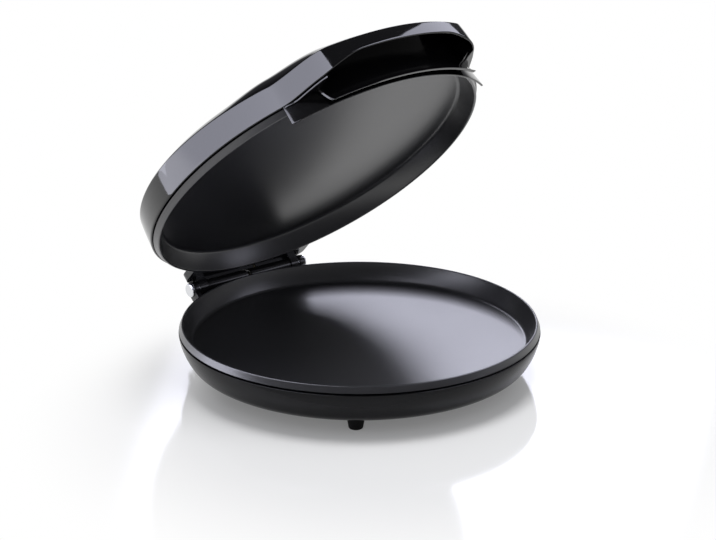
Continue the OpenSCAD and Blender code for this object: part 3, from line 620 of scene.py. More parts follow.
def rounding(a: Array, corner: Array, b: Array, t: Array) -> Array:
    """Curves from a to b that bend at a corner: (1-t)^2 a + 2 t (1-t) corner + t^2 b.

    Args:
        a: where each curve starts, (n, 2).
        corner: the corner that it rounds, (n, 2).
        b: where it ends, (n, 2).
        t: places along the curves, from 0 to 1.

    Returns:
        Points (n, len(t), 2).
    """
    a, corner, b, t = a[:, None], corner[:, None], b[:, None], t[None, :, None]
    return (1 - t) ** 2 * a + 2 * t * (1 - t) * corner + t**2 * b


def filleted(
    corners: Sequence[Sequence[float]], cuts: float | Sequence[float], steps: int = 5
) -> Array:
    """A closed outline with its corners rounded by the curve of rounding().

    Args:
        corners: the outline's corners in order.
        cuts: how far each corner is cut back along its sides; at most 0.49 of a side is cut.
        steps: the number of pieces in each rounded corner.

    Returns:
        The points of the rounded outline.
    """
    c = np.asarray(corners, float)
    cut = np.broadcast_to(np.asarray(cuts, float), (len(c),))[:, None]
    sides = [np.roll(c, 1, 0) - c, np.roll(c, -1, 0) - c]
    lengths = [np.linalg.norm(side, axis=1, keepdims=True) for side in sides]
    a, b = (c + s / n * np.minimum(cut, n * 0.49) for s, n in zip(sides, lengths))
    curves = rounding(a, c, b, np.linspace(0.0, 1.0, steps + 1))
    return np.vstack([row if k > 0 else at[None] for row, k, at in zip(curves, cut[:, 0], c)])


def inset(outline: Array, depth: float) -> Array:
    """A closed outline moved inwards.

    Each point goes by depth along the mean of the normals of its two sides, over half the
    square of that mean's length, which is held to 0.5 or more.

    Args:
        outline: closed outline (n, 2).
        depth: how far the sides move.

    Returns:
        The points of the smaller outline.
    """
    if depth <= 0:
        return outline
    ahead = np.roll(outline, -1, 0) - outline
    ahead = ahead / np.maximum(np.linalg.norm(ahead, axis=1, keepdims=True), 1e-9)
    normal = np.column_stack([-ahead[:, 1], ahead[:, 0]])
    mean = normal + np.roll(normal, 1, 0)
    mean /= np.maximum((mean * mean).sum(1, keepdims=True) / 2, 0.5)
    x, y = outline.T
    turn = np.sign(np.sum(x * np.roll(y, -1) - np.roll(x, -1) * y))
    return outline + mean * depth * turn


def quads(rows: int, columns: int, wrap_rows: bool, wrap_columns: bool) -> list[list[int]]:
    """Faces of a grid of rows by columns, numbered row by row, closed where wrap says so.

    Args:
        rows: the number of rows.
        columns: the number of points in a row.
        wrap_rows: whether the last row joins the first.
        wrap_columns: whether each row closes on itself.

    Returns:
        The faces.
    """
    r = np.arange(rows if wrap_rows else rows - 1)[:, None]
    c = np.arange(columns if wrap_columns else columns - 1)[None, :]
    r2, c2 = (r + 1) % rows, (c + 1) % columns
    corner = [r * columns + c, r * columns + c2, r2 * columns + c2, r2 * columns + c]
    return np.stack(corner, -1).reshape(-1, 4).tolist()


def lofted(rings: Array) -> Patch:
    """A closed patch from rings of points (rings, n, 3), with a face at each end.

    Args:
        rings: the rings of points in order.

    Returns:
        The closed patch.
    """
    rows, n = rings.shape[:2]
    ends = [list(range(n))[::-1], list(range((rows - 1) * n, rows * n))]
    return Patch(rings.reshape(-1, 3), quads(rows, n, False, True) + ends)


def full_turn(steps: int) -> Array:
    """Angles of a full turn in equal steps, in degrees."""
    return np.arange(steps) * 360.0 / steps


def turned(sections: Array, angles: Array | int, poles: bool = False) -> Patch:
    """Carries a section the whole way round the vertical axis, as around() says.

    Args:
        sections: one section (n, 2) of radius and height for all angles, or one for each
            (angles, n, 2).
        angles: the angles in degrees without the last of the turn, or a number of steps.
        poles: whether the first and last point lie on the axis and close the surface.

    Returns:
        A closed patch.
    """
    angles = full_turn(angles) if isinstance(angles, int) else angles
    sections = np.asarray(sections, float)
    s = np.broadcast_to(sections, (len(angles), *sections.shape[-2:]))
    grid = around(s[..., 0], angles[:, None], s[..., 1])
    rows, columns = grid.shape[:2]
    if not poles:
        return Patch(grid.reshape(-1, 3), quads(rows, columns, True, True))
    n = columns - 2
    here = np.arange(rows) * n
    after, first, last = np.roll(here, -1), here * 0 + rows * n, here * 0 + rows * n + 1
    faces = quads(rows, n, True, False)
    faces += np.column_stack([here, after, first]).tolist()
    faces += np.column_stack([after + n - 1, here + n - 1, last]).tolist()
    return Patch(np.vstack([grid[:, 1:-1].reshape(-1, 3), grid[0, 0], grid[0, -1]]), faces)


def rounded_sweep(profile: Array, half: Array | float, steps: int, edge: float) -> Patch:
    """Sweeps a profile round the front from one end to the other, with rounded ends.

    Near each end the profile is inset by edge - sqrt(edge^2 - d^2), where d runs from 0 to
    0.98 edge over the last edge millimetres.

    Args:
        profile: closed outline (radius, height).
        half: half the swept angle in degrees, for all points or for each.
        steps: the number of sections between the rounded ends, with both of these.
        edge: radius of the rounded ends in millimetres.

    Returns:
        A closed patch.
    """
    half = np.broadcast_to(half, (len(profile),))
    reach = math.degrees(edge / profile[:, 0].mean())
    bend = np.linspace(0.0, 1.0, 5)
    depths = edge * (1 - np.sqrt(1 - (bend * 0.98) ** 2))
    ends = half - reach * (1 - bend[:, None])
    middle = np.linspace(-1, 1, steps)[1:-1, None] * (half - reach)
    insets = np.concatenate([depths[::-1], np.zeros(steps - 2), depths])
    sections = np.stack([inset(profile, d) for d in insets])
    angles = np.concatenate([-ends[::-1], middle, ends])
    return lofted(around(sections[..., 0], angles, sections[..., 1]))


def slab(outline: Array, low: float, high: float, edge: float = 0.6, steps: int = 3) -> Patch:
    """A flat plate: a closed outline carried from low to high along z, with rounded edges.

    Args:
        outline: closed outline (x, y).
        low: height of the lower face.
        high: height of the upper face.
        edge: radius of the rounded edges.
        steps: pieces in each rounded edge.

    Returns:
        A closed patch.
    """
    t = np.radians(np.linspace(0.0, 90.0, steps + 1))
    depth, lift = edge * (1 - np.sin(t)), edge * (1 - np.cos(t))
    depths = np.concatenate([depth, depth[::-1]])
    heights = np.concatenate([low + lift, high - lift[::-1]])
    plans = np.stack([inset(outline, d) for d in depths])
    z = np.broadcast_to(heights[:, None, None], (*plans.shape[:2], 1))
    return lofted(np.concatenate([plans, z], -1))


@dataclass(frozen=True)
class Layout:
    """Sizes that several sub-assemblies share, in millimetres and degrees."""

    parting_z: float = 50.0
    lip_gap: float = 0.6
    ground_gap: float = 12.0
    hinge_y: float = 171.0
    hinge_z: float = 45.0
    rest_open: float = 46.0
    screw_circle_r: float = 112.0

    def swung(self, patch: Patch) -> Patch:
        """A patch of the closed lid, turned about the hinge to where the lid rests.

        With t the opening angle, (y, z) from the hinge goes to
        (y cos t + z sin t, z cos t - y sin t).

        Args:
            patch: the patch in the closed lid.

        Returns:
            The patch in the open lid.
        """
        t = math.radians(self.rest_open)
        x, y, z = patch.points.T - [[0.0], [self.hinge_y], [self.hinge_z]]
        y, z = y * math.cos(t) + z * math.sin(t), z * math.cos(t) - y * math.sin(t)
        return Patch(np.column_stack([x, y + self.hinge_y, z + self.hinge_z]), patch.faces)

    def under_lip(self, patch: Patch) -> Patch:
        """A patch drawn below a lip at height 0, placed in the base."""
        return patch.moved((0, 0, self.parting_z - self.lip_gap / 2))

    def over_lip(self, patch: Patch) -> Patch:
        """A patch drawn below a lip at height 0, turned over and placed in the lid."""
        flipped = patch.mirrored((1.0, 1.0, -1.0))
        return self.swung(flipped.moved((0, 0, self.parting_z + self.lip_gap / 2)))

    def at_screws(self, patch: Patch) -> list[Patch]:
        """The patch at each of the four screws that tie housing and plate.

        Args:
            patch: what stands at each screw, drawn about the vertical axis.

        Returns:
            One patch for each screw.
        """
        a = np.radians(np.arange(45, 360, 90))
        places = self.screw_circle_r * np.column_stack([np.cos(a), np.sin(a), 0 * a])
        return [patch.moved(place) for place in places]

    def about_hinge(self, patch: Patch, x: float = 0.0) -> Patch:
        """A patch drawn upright, laid along the hinge's axis from x and turned outwards."""
        return patch.with_axes((2, 0, 1)).moved((x, self.hinge_y, self.hinge_z)).outward()


LAYOUT = Layout()


def mesh_of(name: str, patch: Patch) -> bpy.types.Mesh:
    """A mesh in metres from a patch in millimetres.

    Args:
        name: the mesh's name.
        patch: its surface in millimetres.

    Returns:
        The new mesh.
    """
    mesh = bpy.data.meshes.new(name)
    mesh.from_pydata((patch.points * MM).tolist(), [], patch.faces)
    mesh.validate()
    return mesh


def smoothed(mesh: bpy.types.Mesh, crease: float) -> None:
    """Shades a mesh smooth, but for the edges that bend more than crease degrees.

    Args:
        mesh: the mesh to shade.
        crease: the largest bend that is shaded smooth.
    """
    mesh.polygons.foreach_set("use_smooth", np.ones(len(mesh.polygons), bool))
    mesh.set_sharp_from_angle(angle=math.radians(crease))
    mesh.update()


def linked(name: str, data: Any) -> bpy.types.Object:
    """A new object with its data, put into the scene.

    Args:
        name: the object's name.
        data: its mesh, lamp or camera.

    Returns:
        The new object.
    """
    made = bpy.data.objects.new(name, data)
    bpy.context.scene.collection.objects.link(made)
    return made


def make_piece(
    name: str,
    patch: Patch,
    finish: Finish,
    body: Body,
    slot: str,
    stands_for: Sequence[str] = (),
    crease: float = 32.0,
) -> bpy.types.Object:
    """Puts a patch into a mesh object, dresses it and lets it ride on its body.

    Args:
        name: the piece's name.
        patch: its surface in millimetres.
        finish: its finish.
        body: the body it moves with.
        slot: the record's material slot; it is not used.
        stands_for: solid nodes that it is shown in place of.
        crease: edges that bend more than this many degrees stay sharp.

    Returns:
        The new object.
    """
    mesh = mesh_of(name, patch)
    smoothed(mesh, crease)
    mesh.materials.append(finish.material())
    made = linked(name, mesh)
    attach(made, body.value)
    if stands_for:
        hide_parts(*stands_for)
    LOG.info("%s: %d faces, rides on %s", name, len(mesh.polygons), body.value)
    return made


def carve(piece: bpy.types.Object, cutter: Patch, crease: float = 32.0) -> None:
    """Cuts a closed patch out of a finished piece and keeps the result as its mesh.

    Args:
        piece: the piece to cut.
        cutter: what is taken away, in millimetres.
        crease: edges that bend more than this many degrees stay sharp.
    """
    tool = linked("cutter", mesh_of("cutter", cutter))
    change = piece.modifiers.new("cut", "BOOLEAN")
    change.operation, change.solver, change.object = "DIFFERENCE", "EXACT", tool
    bpy.context.view_layer.update()
    graph = bpy.context.evaluated_depsgraph_get()
    result = bpy.data.meshes.new_from_object(piece.evaluated_get(graph))
    piece.modifiers.clear()
    old, piece.data = piece.data, result
    result.name = old.name
    spent = tool.data
    bpy.data.objects.remove(tool)
    for mesh in (old, spent):
        bpy.data.meshes.remove(mesh)
    smoothed(result, crease)


# ---------------------------------------------------------------- lid


@dataclass
class LidShell:
    """The domed shell with the raised visor, one skin swept round the lid."""

    edge_radius: float = 164.9
    edge_height: float = 7.0
    band_height: float = 26.9
    band_lean: float = 1.6
    band_bow: float = 0.24
    crest_drop: float = 5.3
    sink_full: float = 10.0
    sink_outer: float = 89.0
    crown_height: float = 53.0
    dome_power: float = 6.0
    swell_height: float = 3.4
    swell_dip: float = 2.0
    swell_width: float = 0.3
    swell_inner: float = 20.0
    swell_peak: float = 39.0
    swell_outer: float = 58.0
    wall: float = 2.2
    visor_reach: float = 27.0
    visor_lift: float = 8.5
    visor_full: float = 21.5
    visor_outer: float = 40.0
    lift_full: float = 14.0
    lift_outer: float = 27.5
    crease: float = 0.9
    notch_half: float = 6.0
    notch_lift: float = 9.0
    lamp_hole_radius: float = 4.1
    lamp_hole_low: float = 28.0
    lamp_hole_high: float = 60.0
    lamp_spread: float = 12.0
    lamp_inset: float = 15.0
    sharp: float = 40.0

    def bulge(self, angle: Array) -> Array:
        """How far the visor stands out, 0 to 1, at an angle from the front."""
        return 1 - ease(self.visor_full, self.visor_outer, np.abs(angle))

    def edge_r(self, angle: Array) -> Array:
        """Radius of the lower edge."""
        return self.edge_radius + self.visor_reach * self.bulge(angle)

    def edge_h(self, angle: Array) -> Array:
        """Height of the lower edge above the parting plane, with the visor and the wire notch.

        Args:
            angle: angles from the front, in degrees.

        Returns:
            The heights.
        """
        rear = 180 - np.abs(angle)
        rise = self.visor_lift * (1 - ease(self.lift_full, self.lift_outer, np.abs(angle)))
        notch = self.notch_lift * (1 - ease(self.notch_half, self.notch_half + 1, rear))
        return self.edge_height + rise + notch

    def crest_r(self, angle: Array) -> Array:
        """Radius where the side band meets the dome."""
        return self.edge_radius - self.band_lean + (self.visor_reach - 0.5) * self.bulge(angle)

    def crest_h(self, angle: Array) -> Array:
        """Height where the side band meets the dome; it sinks towards the front."""
        sink = 1 - ease(self.sink_full, self.sink_outer, np.abs(angle))
        return self.edge_height + self.band_height - self.crest_drop * sink

    def swell(self, angle: Array) -> Array:
        """Height that the dome gains beside the visor and loses along it.

        Args:
            angle: angles from the front, in degrees.

        Returns:
            The heights.
        """
        q = np.abs(angle)
        rise = (self.swell_height + self.swell_dip) * ease(self.swell_inner, self.swell_peak, q)
        return (1 - ease(self.swell_peak, self.swell_outer, q)) * (rise - self.swell_dip)

    def skin(self, angle: Array, depth: float, band: Array, dome: Array) -> Array:
        """Section of the skin, moved in by depth.

        Along the band the radius goes in a straight line from edge to crest plus a bow of
        band_bow times the sine of the way. At a share f of the crest's radius the dome has
        the height crest + (crown - crest) * (1 - f^power), plus the swell times
        sin(pi * sqrt((1 - f) / width)).

        Args:
            angle: angles from the front, in degrees.
            depth: how far the skin lies inside the outer one.
            band: places along the band, 0 at the edge to 1 at the crest.
            dome: shares of the crest's radius, down to 0 at the crown.

        Returns:
            Points (angles, band + dome, 2) of radius and height.
        """
        er, eh, cr, ch = (f(angle)[:, None] for f in (self.edge_r, self.edge_h, self.crest_r, self.crest_h))
        t, f = band[None, :], dome[None, :]
        side_r = er - depth + (cr - er) * t + self.band_bow * np.sin(np.pi * t)
        side_h = eh + (ch - eh) * t
        wave = np.sin(np.pi * np.sqrt(np.minimum(1.0, (1 - f) / self.swell_width)))
        top_r = (cr - depth) * f
        top_h = ch + (self.crown_height - depth - ch) * (1 - f**self.dome_power)
        top_h = top_h + self.swell(angle)[:, None] * wave
        return np.concatenate([np.stack([side_r, side_h], -1), np.stack([top_r, top_h], -1)], 1)

    def round_angles(self) -> Array:
        """Angles round the lid: close together along the visor and at the wire notch.

        Returns:
            The angles in degrees, from -50 up to 310.
        """
        notch = np.linspace(self.notch_half - 0.2, self.notch_half + 1.2, 8)
        front, right = np.arange(-50, 50, 0.4), np.arange(50, 172.7, 1.0)
        rear, left = np.arange(-5, 6, 1.0) + 180, 360 - np.arange(172, 50, -1.0)
        return np.concatenate([front, right, 180 - notch[::-1], rear, 180 + notch, left])

    def patch(self) -> Patch:
        """The whole closed shell: outer skin with its rounded crease, lower edge, inner skin.

        Returns:
            The closed patch, in the closed lid.
        """
        angles = self.round_angles()
        wrapped = np.where(angles > 180, angles - 360, angles)
        band = np.linspace(0.03, 1 - self.crease / self.band_height, 12)
        fall = np.linspace(self.crease / self.edge_radius, 0.04, 8)
        dome = 1 - np.concatenate([fall, np.linspace(0.05, 0.36, 24), np.linspace(0.40, 1.0, 16)])
        outer = self.skin(wrapped, 0.0, band, dome)
        side, top = np.split(outer, [len(band)], axis=1)
        crest = np.stack([self.crest_r(wrapped), self.crest_h(wrapped)], -1)
        rounded = rounding(side[:, -1], crest, top[:, 0], np.linspace(0.12, 0.88, 6))
        inner = self.skin(wrapped, self.wall, np.linspace(0.03, 1.0, 8), 1 - np.linspace(0.01, 1.0, 30))
        t = np.radians(np.linspace(0, 180, 9))[None, 1:-1]
        half = self.wall / 2
        rim = [side[:, :1, 0] - half + half * np.cos(t), side[:, :1, 1] - half * 0.6 * np.sin(t)]
        outer = np.concatenate([side, rounded, top], 1)[:, ::-1]
        sections = np.concatenate([outer, np.stack(rim, -1), inner], 1)
        return turned(sections + (0.0, LAYOUT.parting_z), angles, poles=True)

    def build(self) -> None:
        """Makes the shell and drills the lamp holes."""
        patch = LAYOUT.swung(self.patch().outward())
        skin = make_piece(
            "lid_shell_skin", patch, Palette.shell, Body.LID, "gloss_black", ["lid_shell"], self.sharp
        )
        low, high = LAYOUT.parting_z + self.lamp_hole_low, LAYOUT.parting_z + self.lamp_hole_high
        r = self.lamp_hole_radius
        hole = turned([(0, low), (r, low), (r, high), (0, high)], 48, poles=True).outward()
        places = [(x, self.lamp_inset - self.edge_radius, 0) for x in (-self.lamp_spread, self.lamp_spread)]
        carve(skin, LAYOUT.swung(joined([hole.moved(place) for place in places])), self.sharp)


@dataclass
class FrontSkirts:
    """The two skirts under the visor: the inner guard and the scooped finger grip."""

    shell: LidShell
    top: float = 6.7
    wall: float = 1.9
    guard_inner: float = 163.6
    guard_flare: float = 2.8
    guard_half: float = 39.5
    drop: float = 11.5
    grip_radius: float = 178.0
    grip_half: float = 27.0
    grip_splay: float = 6.0
    scoop_in: float = 10.5
    scoop_top: float = 34.0
    web: float = 2.0
    end_wall: float = 2.0
    edge: float = 0.45
    clear: float = 0.3

    def end_x(self, height: Array, depth: float = 0.0) -> Array:
        """How far out the grip's slanted ends lie at a height, moved in by depth.

        Args:
            height: heights above the parting plane.
            depth: how far the end is moved in.

        Returns:
            The distances from the middle.
        """
        low = self.grip_radius * math.sin(math.radians(self.grip_half - 1)) - depth
        span = self.shell.edge_height + self.shell.band_height + self.drop + 1
        return low + self.grip_splay * (np.asarray(height, float) + self.drop + 1) / span

    def end_angle(self, profile: Array, depth: float = 0.0) -> Array:
        """The angle of the slanted end at each point (r, h): the arc sine of end_x(h) / r."""
        return np.degrees(np.arcsin(self.end_x(profile[:, 1], depth) / profile[:, 0]))

    def between_ends(self, profile: Array, steps: int, edge: float) -> Patch:
        """A profile swept from one slanted end to the other, above the parting plane."""
        patch = rounded_sweep(profile, self.end_angle(profile), steps, edge)
        return patch.moved((0, 0, LAYOUT.parting_z))

    def visor_r(self, radius: Callable[[Array], Array], angle: Array | float, gap: float) -> Array:
        """A radius of the shell at an angle, less its wall and a gap."""
        return radius(np.asarray(angle, float)) - self.shell.wall - gap

    def guard(self) -> Patch:
        """The flared inner skirt with the webs that close the visor's ends.

        Returns:
            The closed patches as one, in the closed lid.
        """
        r, low = self.guard_inner, -self.drop
        inner = [(r, self.top), (r + self.guard_flare * 0.75, low * 0.6), (r + self.guard_flare, low)]
        outer = [(r + self.wall, h) for r, h in inner[::-1]]
        profile = filleted(inner + outer, [0.3, 4.0, 0.6, 0.6, 4.0, 0.3])
        sweep = rounded_sweep(profile + (0, LAYOUT.parting_z), self.guard_half, 90, self.edge)
        low = LAYOUT.parting_z + self.top - self.web
        wing = slab(self.wing_plan(), low, low + self.web, 0.25, 2)
        return joined([sweep, wing, wing.mirrored()])

    def wing_plan(self) -> Array:
        """Plan of a web, between the guard, the shell and the grip's end wall.

        Its outer edge starts at the angle p where the radius just inside the shell, times
        sin p, is the end wall's distance from the middle. It is found on a fine grid of p.

        Returns:
            A closed outline (x, y).
        """
        limit, stop = float(self.end_x(self.top)) + self.clear, self.guard_half - 0.5
        share = np.linspace(0, 1, 25)
        near_r = self.guard_inner + self.wall * 0.5
        start = math.degrees(math.asin(limit / near_r))
        near = around(near_r, start + (stop - start) * share, 0.0)
        p = np.linspace(15.0, 39.0, 9601)
        reach = self.visor_r(self.shell.edge_r, p, self.clear) * np.sin(np.radians(p))
        start = np.interp(limit, reach, p)
        angle = start + (stop - start) * share
        far_r = self.visor_r(self.shell.edge_r, angle, self.clear)
        far = around(np.maximum(far_r, self.guard_inner + self.wall + 1.2), angle, 0.0)
        return np.vstack([far, near[::-1]])[:, :2]

    def grip(self) -> Patch:
        """The scooped wall that the fingers pull on, with its web and two end walls.

        Returns:
            The closed patches as one, in the closed lid.
        """
        quarter = np.radians(90 * np.linspace(0, 1, 26))
        scoop_r = self.grip_radius - self.scoop_in * np.sin(quarter)
        scoop_h = -self.drop + (self.scoop_top + self.drop) * (1 - np.cos(quarter))
        scoop = np.column_stack([scoop_r, scoop_h])
        foot = arc((self.grip_radius - self.wall / 2, -self.drop + 0.45), self.wall / 2, -150, -30, 6)
        foot[:, 1] = np.maximum(foot[:, 1], -self.drop)
        wall = np.vstack([scoop[1:], (scoop - (self.wall, 0))[:0:-1], foot])
        web_in, web_out = self.guard_inner + self.wall + 0.9, self.grip_radius - self.scoop_in * 0.88
        low, gap = self.top - self.web, self.clear + 0.1
        shelf = [(web_in, low), (web_out, low), (web_out, self.top), (web_in, self.top)]
        visor_in = self.visor_r(self.shell.edge_r, self.grip_half - 0.5, gap)
        visor_top = self.visor_r(self.shell.crest_r, self.grip_half + 0.3, gap)
        crest = self.shell.crest_h(np.asarray(self.grip_half)) - 1
        back, roof = self.grip_radius - self.scoop_in, self.scoop_top - 0.6
        end = [(web_out - 2, low), (visor_in, self.top), (visor_top, crest), (back, roof)]
        end = filleted(end + [(back - self.wall, roof)], 0.25, 3)
        rings = [
            around(end[:, 0], self.end_angle(end, depth), end[:, 1] + LAYOUT.parting_z)
            for depth in np.linspace(0.0, self.end_wall, 4)
        ]
        cheek = lofted(np.stack(rings))
        scoop_wall = self.between_ends(wall, 70, self.edge)
        web = self.between_ends(filleted(shelf, 0.3, 3), 60, 0.3)
        return joined([scoop_wall, web, cheek, cheek.mirrored()])

    def build(self) -> None:
        """Makes both skirts."""
        guard, grip = LAYOUT.swung(self.guard()), LAYOUT.swung(self.grip())
        make_piece("rim_guard_skirt", guard, Palette.skirt, Body.LID, "gloss_black", ["rim_guard"])
        make_piece("finger_grip_scoop", grip, Palette.skirt, Body.LID, "gloss_black", ["finger_grip"])


# ---------------------------------------------------------------- plates


@dataclass
class CookingPlate:
    """A cast pan with a beaded lip, an apron and the bosses on its back."""

    lip_radius: float = 161.0
    depth: float = 18.0
    floor_radius: float = 149.0
    fillet: float = 4.0
    thickness: float = 2.6
    apron_out: float = 2.0
    apron_drop: float = 6.0
    bead: float = 1.3
    wall_lean: float = 25.0
    lip_foot: float = 3.2
    boss_radius: float = 5.5
    boss_height: float = 6.0
    rib_radii: tuple[float, float] = (90.3, 98.3)
    rib_wall: float = 1.4
    rib_height: float = 1.6

    def profile(self) -> Array:
        """The section from the middle of the floor over the lip to the middle of the underside.

        Returns:
            The section's points (radius, height), with the lip at height 0.
        """
        back = self.depth + self.thickness
        foot = self.floor_radius + self.fillet * 0.75
        lip = self.lip_radius - 2 * self.bead + self.thickness * 0.6
        out, low = self.lip_radius + self.apron_out, -self.apron_drop
        centre = (self.floor_radius, self.fillet - self.depth)
        inner = arc(centre, self.fillet, -90, -self.wall_lean, 12)
        bead = arc((self.lip_radius - self.bead, -self.bead), self.bead, 180, 12, 16)
        skirt = [(out - 0.25, low + 0.9), (out, low + 0.3), (out - 0.35, low), (out - 1.5, low)]
        skirt += [(out - 1.8, low + 0.35), (lip + 0.9, -self.lip_foot), (lip, -self.lip_foot)]
        skirt += [(foot + self.thickness * 0.9, 1.5 - self.depth)]
        outer = arc(centre, self.fillet + self.thickness, -self.wall_lean, -90, 10)
        floor = [(r, -self.depth) for r in (0.0, 1.0, 30.0, 75.0, 120.0, 146.0)]
        under = [(r, -back) for r in (146.0, 100.0, 50.0, 1.0, 0.0)]
        return np.vstack([floor, inner, bead, skirt, outer, under])

    def patch(self) -> Patch:
        """The pan with its four screw bosses and the two ribs of the heater's channel.

        Returns:
            The closed patches as one, with the lip at height 0.
        """
        back = -self.depth - self.thickness
        r, top, low = self.boss_radius, back + 1, back - self.boss_height
        boss = turned([(0.0, top), (r, top), (r, low), (0.0, low)], 40, poles=True)
        foot = back - self.rib_height
        ribs = [
            turned([(r, top), (r + self.rib_wall, top), (r + self.rib_wall, foot), (r, foot)], 180)
            for r in self.rib_radii
        ]
        return joined([turned(self.profile(), 360, poles=True), *LAYOUT.at_screws(boss), *ribs])

    def build(self) -> None:
        """Makes the lower and the upper plate from the same casting."""
        patch = self.patch()
        lower, upper = LAYOUT.under_lip(patch), LAYOUT.over_lip(patch)
        make_piece("lower_pan", lower, Palette.coating, Body.BASE, "nonstick", ["lower_plate"])
        make_piece("upper_pan", upper, Palette.coating, Body.LID, "nonstick", ["upper_plate"])


# ---------------------------------------------------------------- base


@dataclass
class BaseHousing:
    """The bowed housing with its hinge block, vents and screw wells."""

    top_radius: float = 163.3
    top_z: float = 42.2
    wall: float = 2.4
    first_bend: float = 13.0
    second_bend: float = 33.0
    lip_share: float = 0.656
    bow_share: float = 1.846
    corner_share: float = 0.577
    block_half: float = 60.0
    block_front: float = 147.0
    block_rear: float = 176.0
    block_low: float = 16.0
    block_high: float = 36.0
    inlet_radius: float = 6.2
    inlet_x: float = 30.0
    inlet_z: float = 26.0
    inlet_depth: float = 8.0
    inlet_over: float = 3.0
    hollow_over: float = 24.0
    vents: int = 12
    vent_start: float = 42.0
    vent_stop: float = 60.0
    vent_half: float = 1.5
    vent_round: float = 1.3
    well_radius: float = 4.3
    well_depth: float = 6.0
    column_bore: float = 2.2
    column_radius: float = 7.5
    column_step: float = 18.0
    neck_radius: float = 5.0
    neck_top: float = 23.1
    foot_circle: float = 132.0
    foot_angle: float = 41.0
    foot_radius: float = 8.25
    tread_setback: float = 3.4
    tread_round: float = 1.5
    peg_radius: float = 2.4
    peg_tip: float = 1.8
    peg_top: float = 16.9
    barb_radius: float = 3.2
    barb_z: float = 14.7

    def side(self, depth: float) -> Array:
        """The bowed side as three arcs that share their tangents, moved in by depth.

        Their radii are shares of the housing's height.

        Args:
            depth: how far the line lies inside the outer one.

        Returns:
            Points (radius, height) from the rim to the floor.
        """
        height = self.top_z - LAYOUT.ground_gap
        lip, bow, corner = (height * k for k in (self.lip_share, self.bow_share, self.corner_share))
        a, b = math.radians(self.first_bend), math.radians(self.second_bend)
        c0 = np.array([self.top_radius - lip, self.top_z])
        c1 = c0 + (lip - bow) * np.array([math.cos(a), -math.sin(a)])
        c2 = c1 + (bow - corner) * np.array([math.cos(b), -math.sin(b)])
        upper = arc(c0, lip - depth, 0, -self.first_bend, 6)
        middle = arc(c1, bow - depth, -self.first_bend, -self.second_bend, 14)
        lower = arc(c2, corner - depth, -self.second_bend, -90, 16)
        return np.vstack([upper, middle[1:], lower[1:]])

    def bowl(self) -> Patch:
        """The bowl as a closed wall with a rounded rim.

        Returns:
            The closed patch.
        """
        rim_z, low = self.top_z - 0.6, LAYOUT.ground_gap
        rim = arc((self.top_radius - self.wall / 2, rim_z), self.wall / 2, 170, 10, 8)
        rim[:, 1] = rim_z + (rim[:, 1] - rim_z) * 0.5
        radii = (120.0, 80.0, 66.0, 30.0, 1.0, 0.0)
        floor, inside = [(r, low) for r in radii], [(r, low + self.wall) for r in radii[::-1]]
        outer, inner = (s[s[:, 1] < rim_z - 0.1] for s in (self.side(0.0), self.side(self.wall)))
        return turned(np.vstack([inside, inner[::-1], rim, outer, floor]), 360, poles=True)

    def block(self) -> Patch:
        """The hinge block at the rear.

        Returns:
            The closed patch.
        """
        x, y0, y1 = self.block_half, self.block_front, self.block_rear
        plan = filleted([(-x, y0), (x, y0), (x, y1), (-x, y1)], [0, 0, 4.0, 4.0], 10)
        return slab(plan, self.block_low, self.block_high, 1.0, 4)

    def columns(self) -> list[Patch]:
        """The four columns that carry the plate's screws.

        Returns:
            One closed patch for each column.
        """
        low, step, top = LAYOUT.ground_gap + 1, self.column_step, self.neck_top
        bore, wide, neck = self.column_bore, self.column_radius, self.neck_radius
        shape = [(bore, low), (wide, low), (wide, step), (neck, step), (neck, top), (bore, top)]
        return LAYOUT.at_screws(turned(shape, 40))

    def underside(self) -> Patch:
        """What is cut from the underside: radial vents and screw wells.

        Returns:
            The closed patches as one.
        """
        low, half, r = LAYOUT.ground_gap - 1, self.vent_half, self.well_radius
        start, stop = self.vent_start, self.vent_stop
        slot = filleted([(start, -half), (stop, -half), (stop, half), (start, half)], self.vent_round, 4)
        parts = []
        for a in np.radians(full_turn(self.vents)):
            turn = np.array([[math.cos(a), math.sin(a)], [-math.sin(a), math.cos(a)]])
            parts.append(slab(slot @ turn, low, low + self.wall + 2, 0.01, 1))
        deep = low + self.well_depth
        well = turned([(0, low), (r, low), (r, deep), (0, deep)], 40, poles=True)
        return joined(parts + LAYOUT.at_screws(well))

    def build(self) -> None:
        """Makes the housing, its openings and its feet."""
        dress = (Palette.housing, Body.BASE, "base_black")
        bowl = make_piece("housing_bowl", joined([self.bowl()]), *dress, ["base_housing"])
        carve(bowl, self.underside())
        block = make_piece("hinge_block", joined([self.block()]), *dress)
        r, deep, over = self.inlet_radius, -self.inlet_depth, self.inlet_over
        inlet = turned([(0, deep), (r, deep), (r, over), (0, over)], 48, poles=True).with_axes((0, 2, 1))
        carve(block, inlet.moved((self.inlet_x, self.block_rear, self.inlet_z)).outward())
        inside, over = self.side(self.wall * 0.5)[::-1], self.block_high + self.hollow_over
        hollow = np.vstack([[(0.0, inside[0, 1])], inside, [(inside[-1, 0], over), (0.0, over)]])
        carve(block, turned(hollow, 180, poles=True))
        make_piece("plate_columns", joined(self.columns()), *dress)
        self.build_feet()

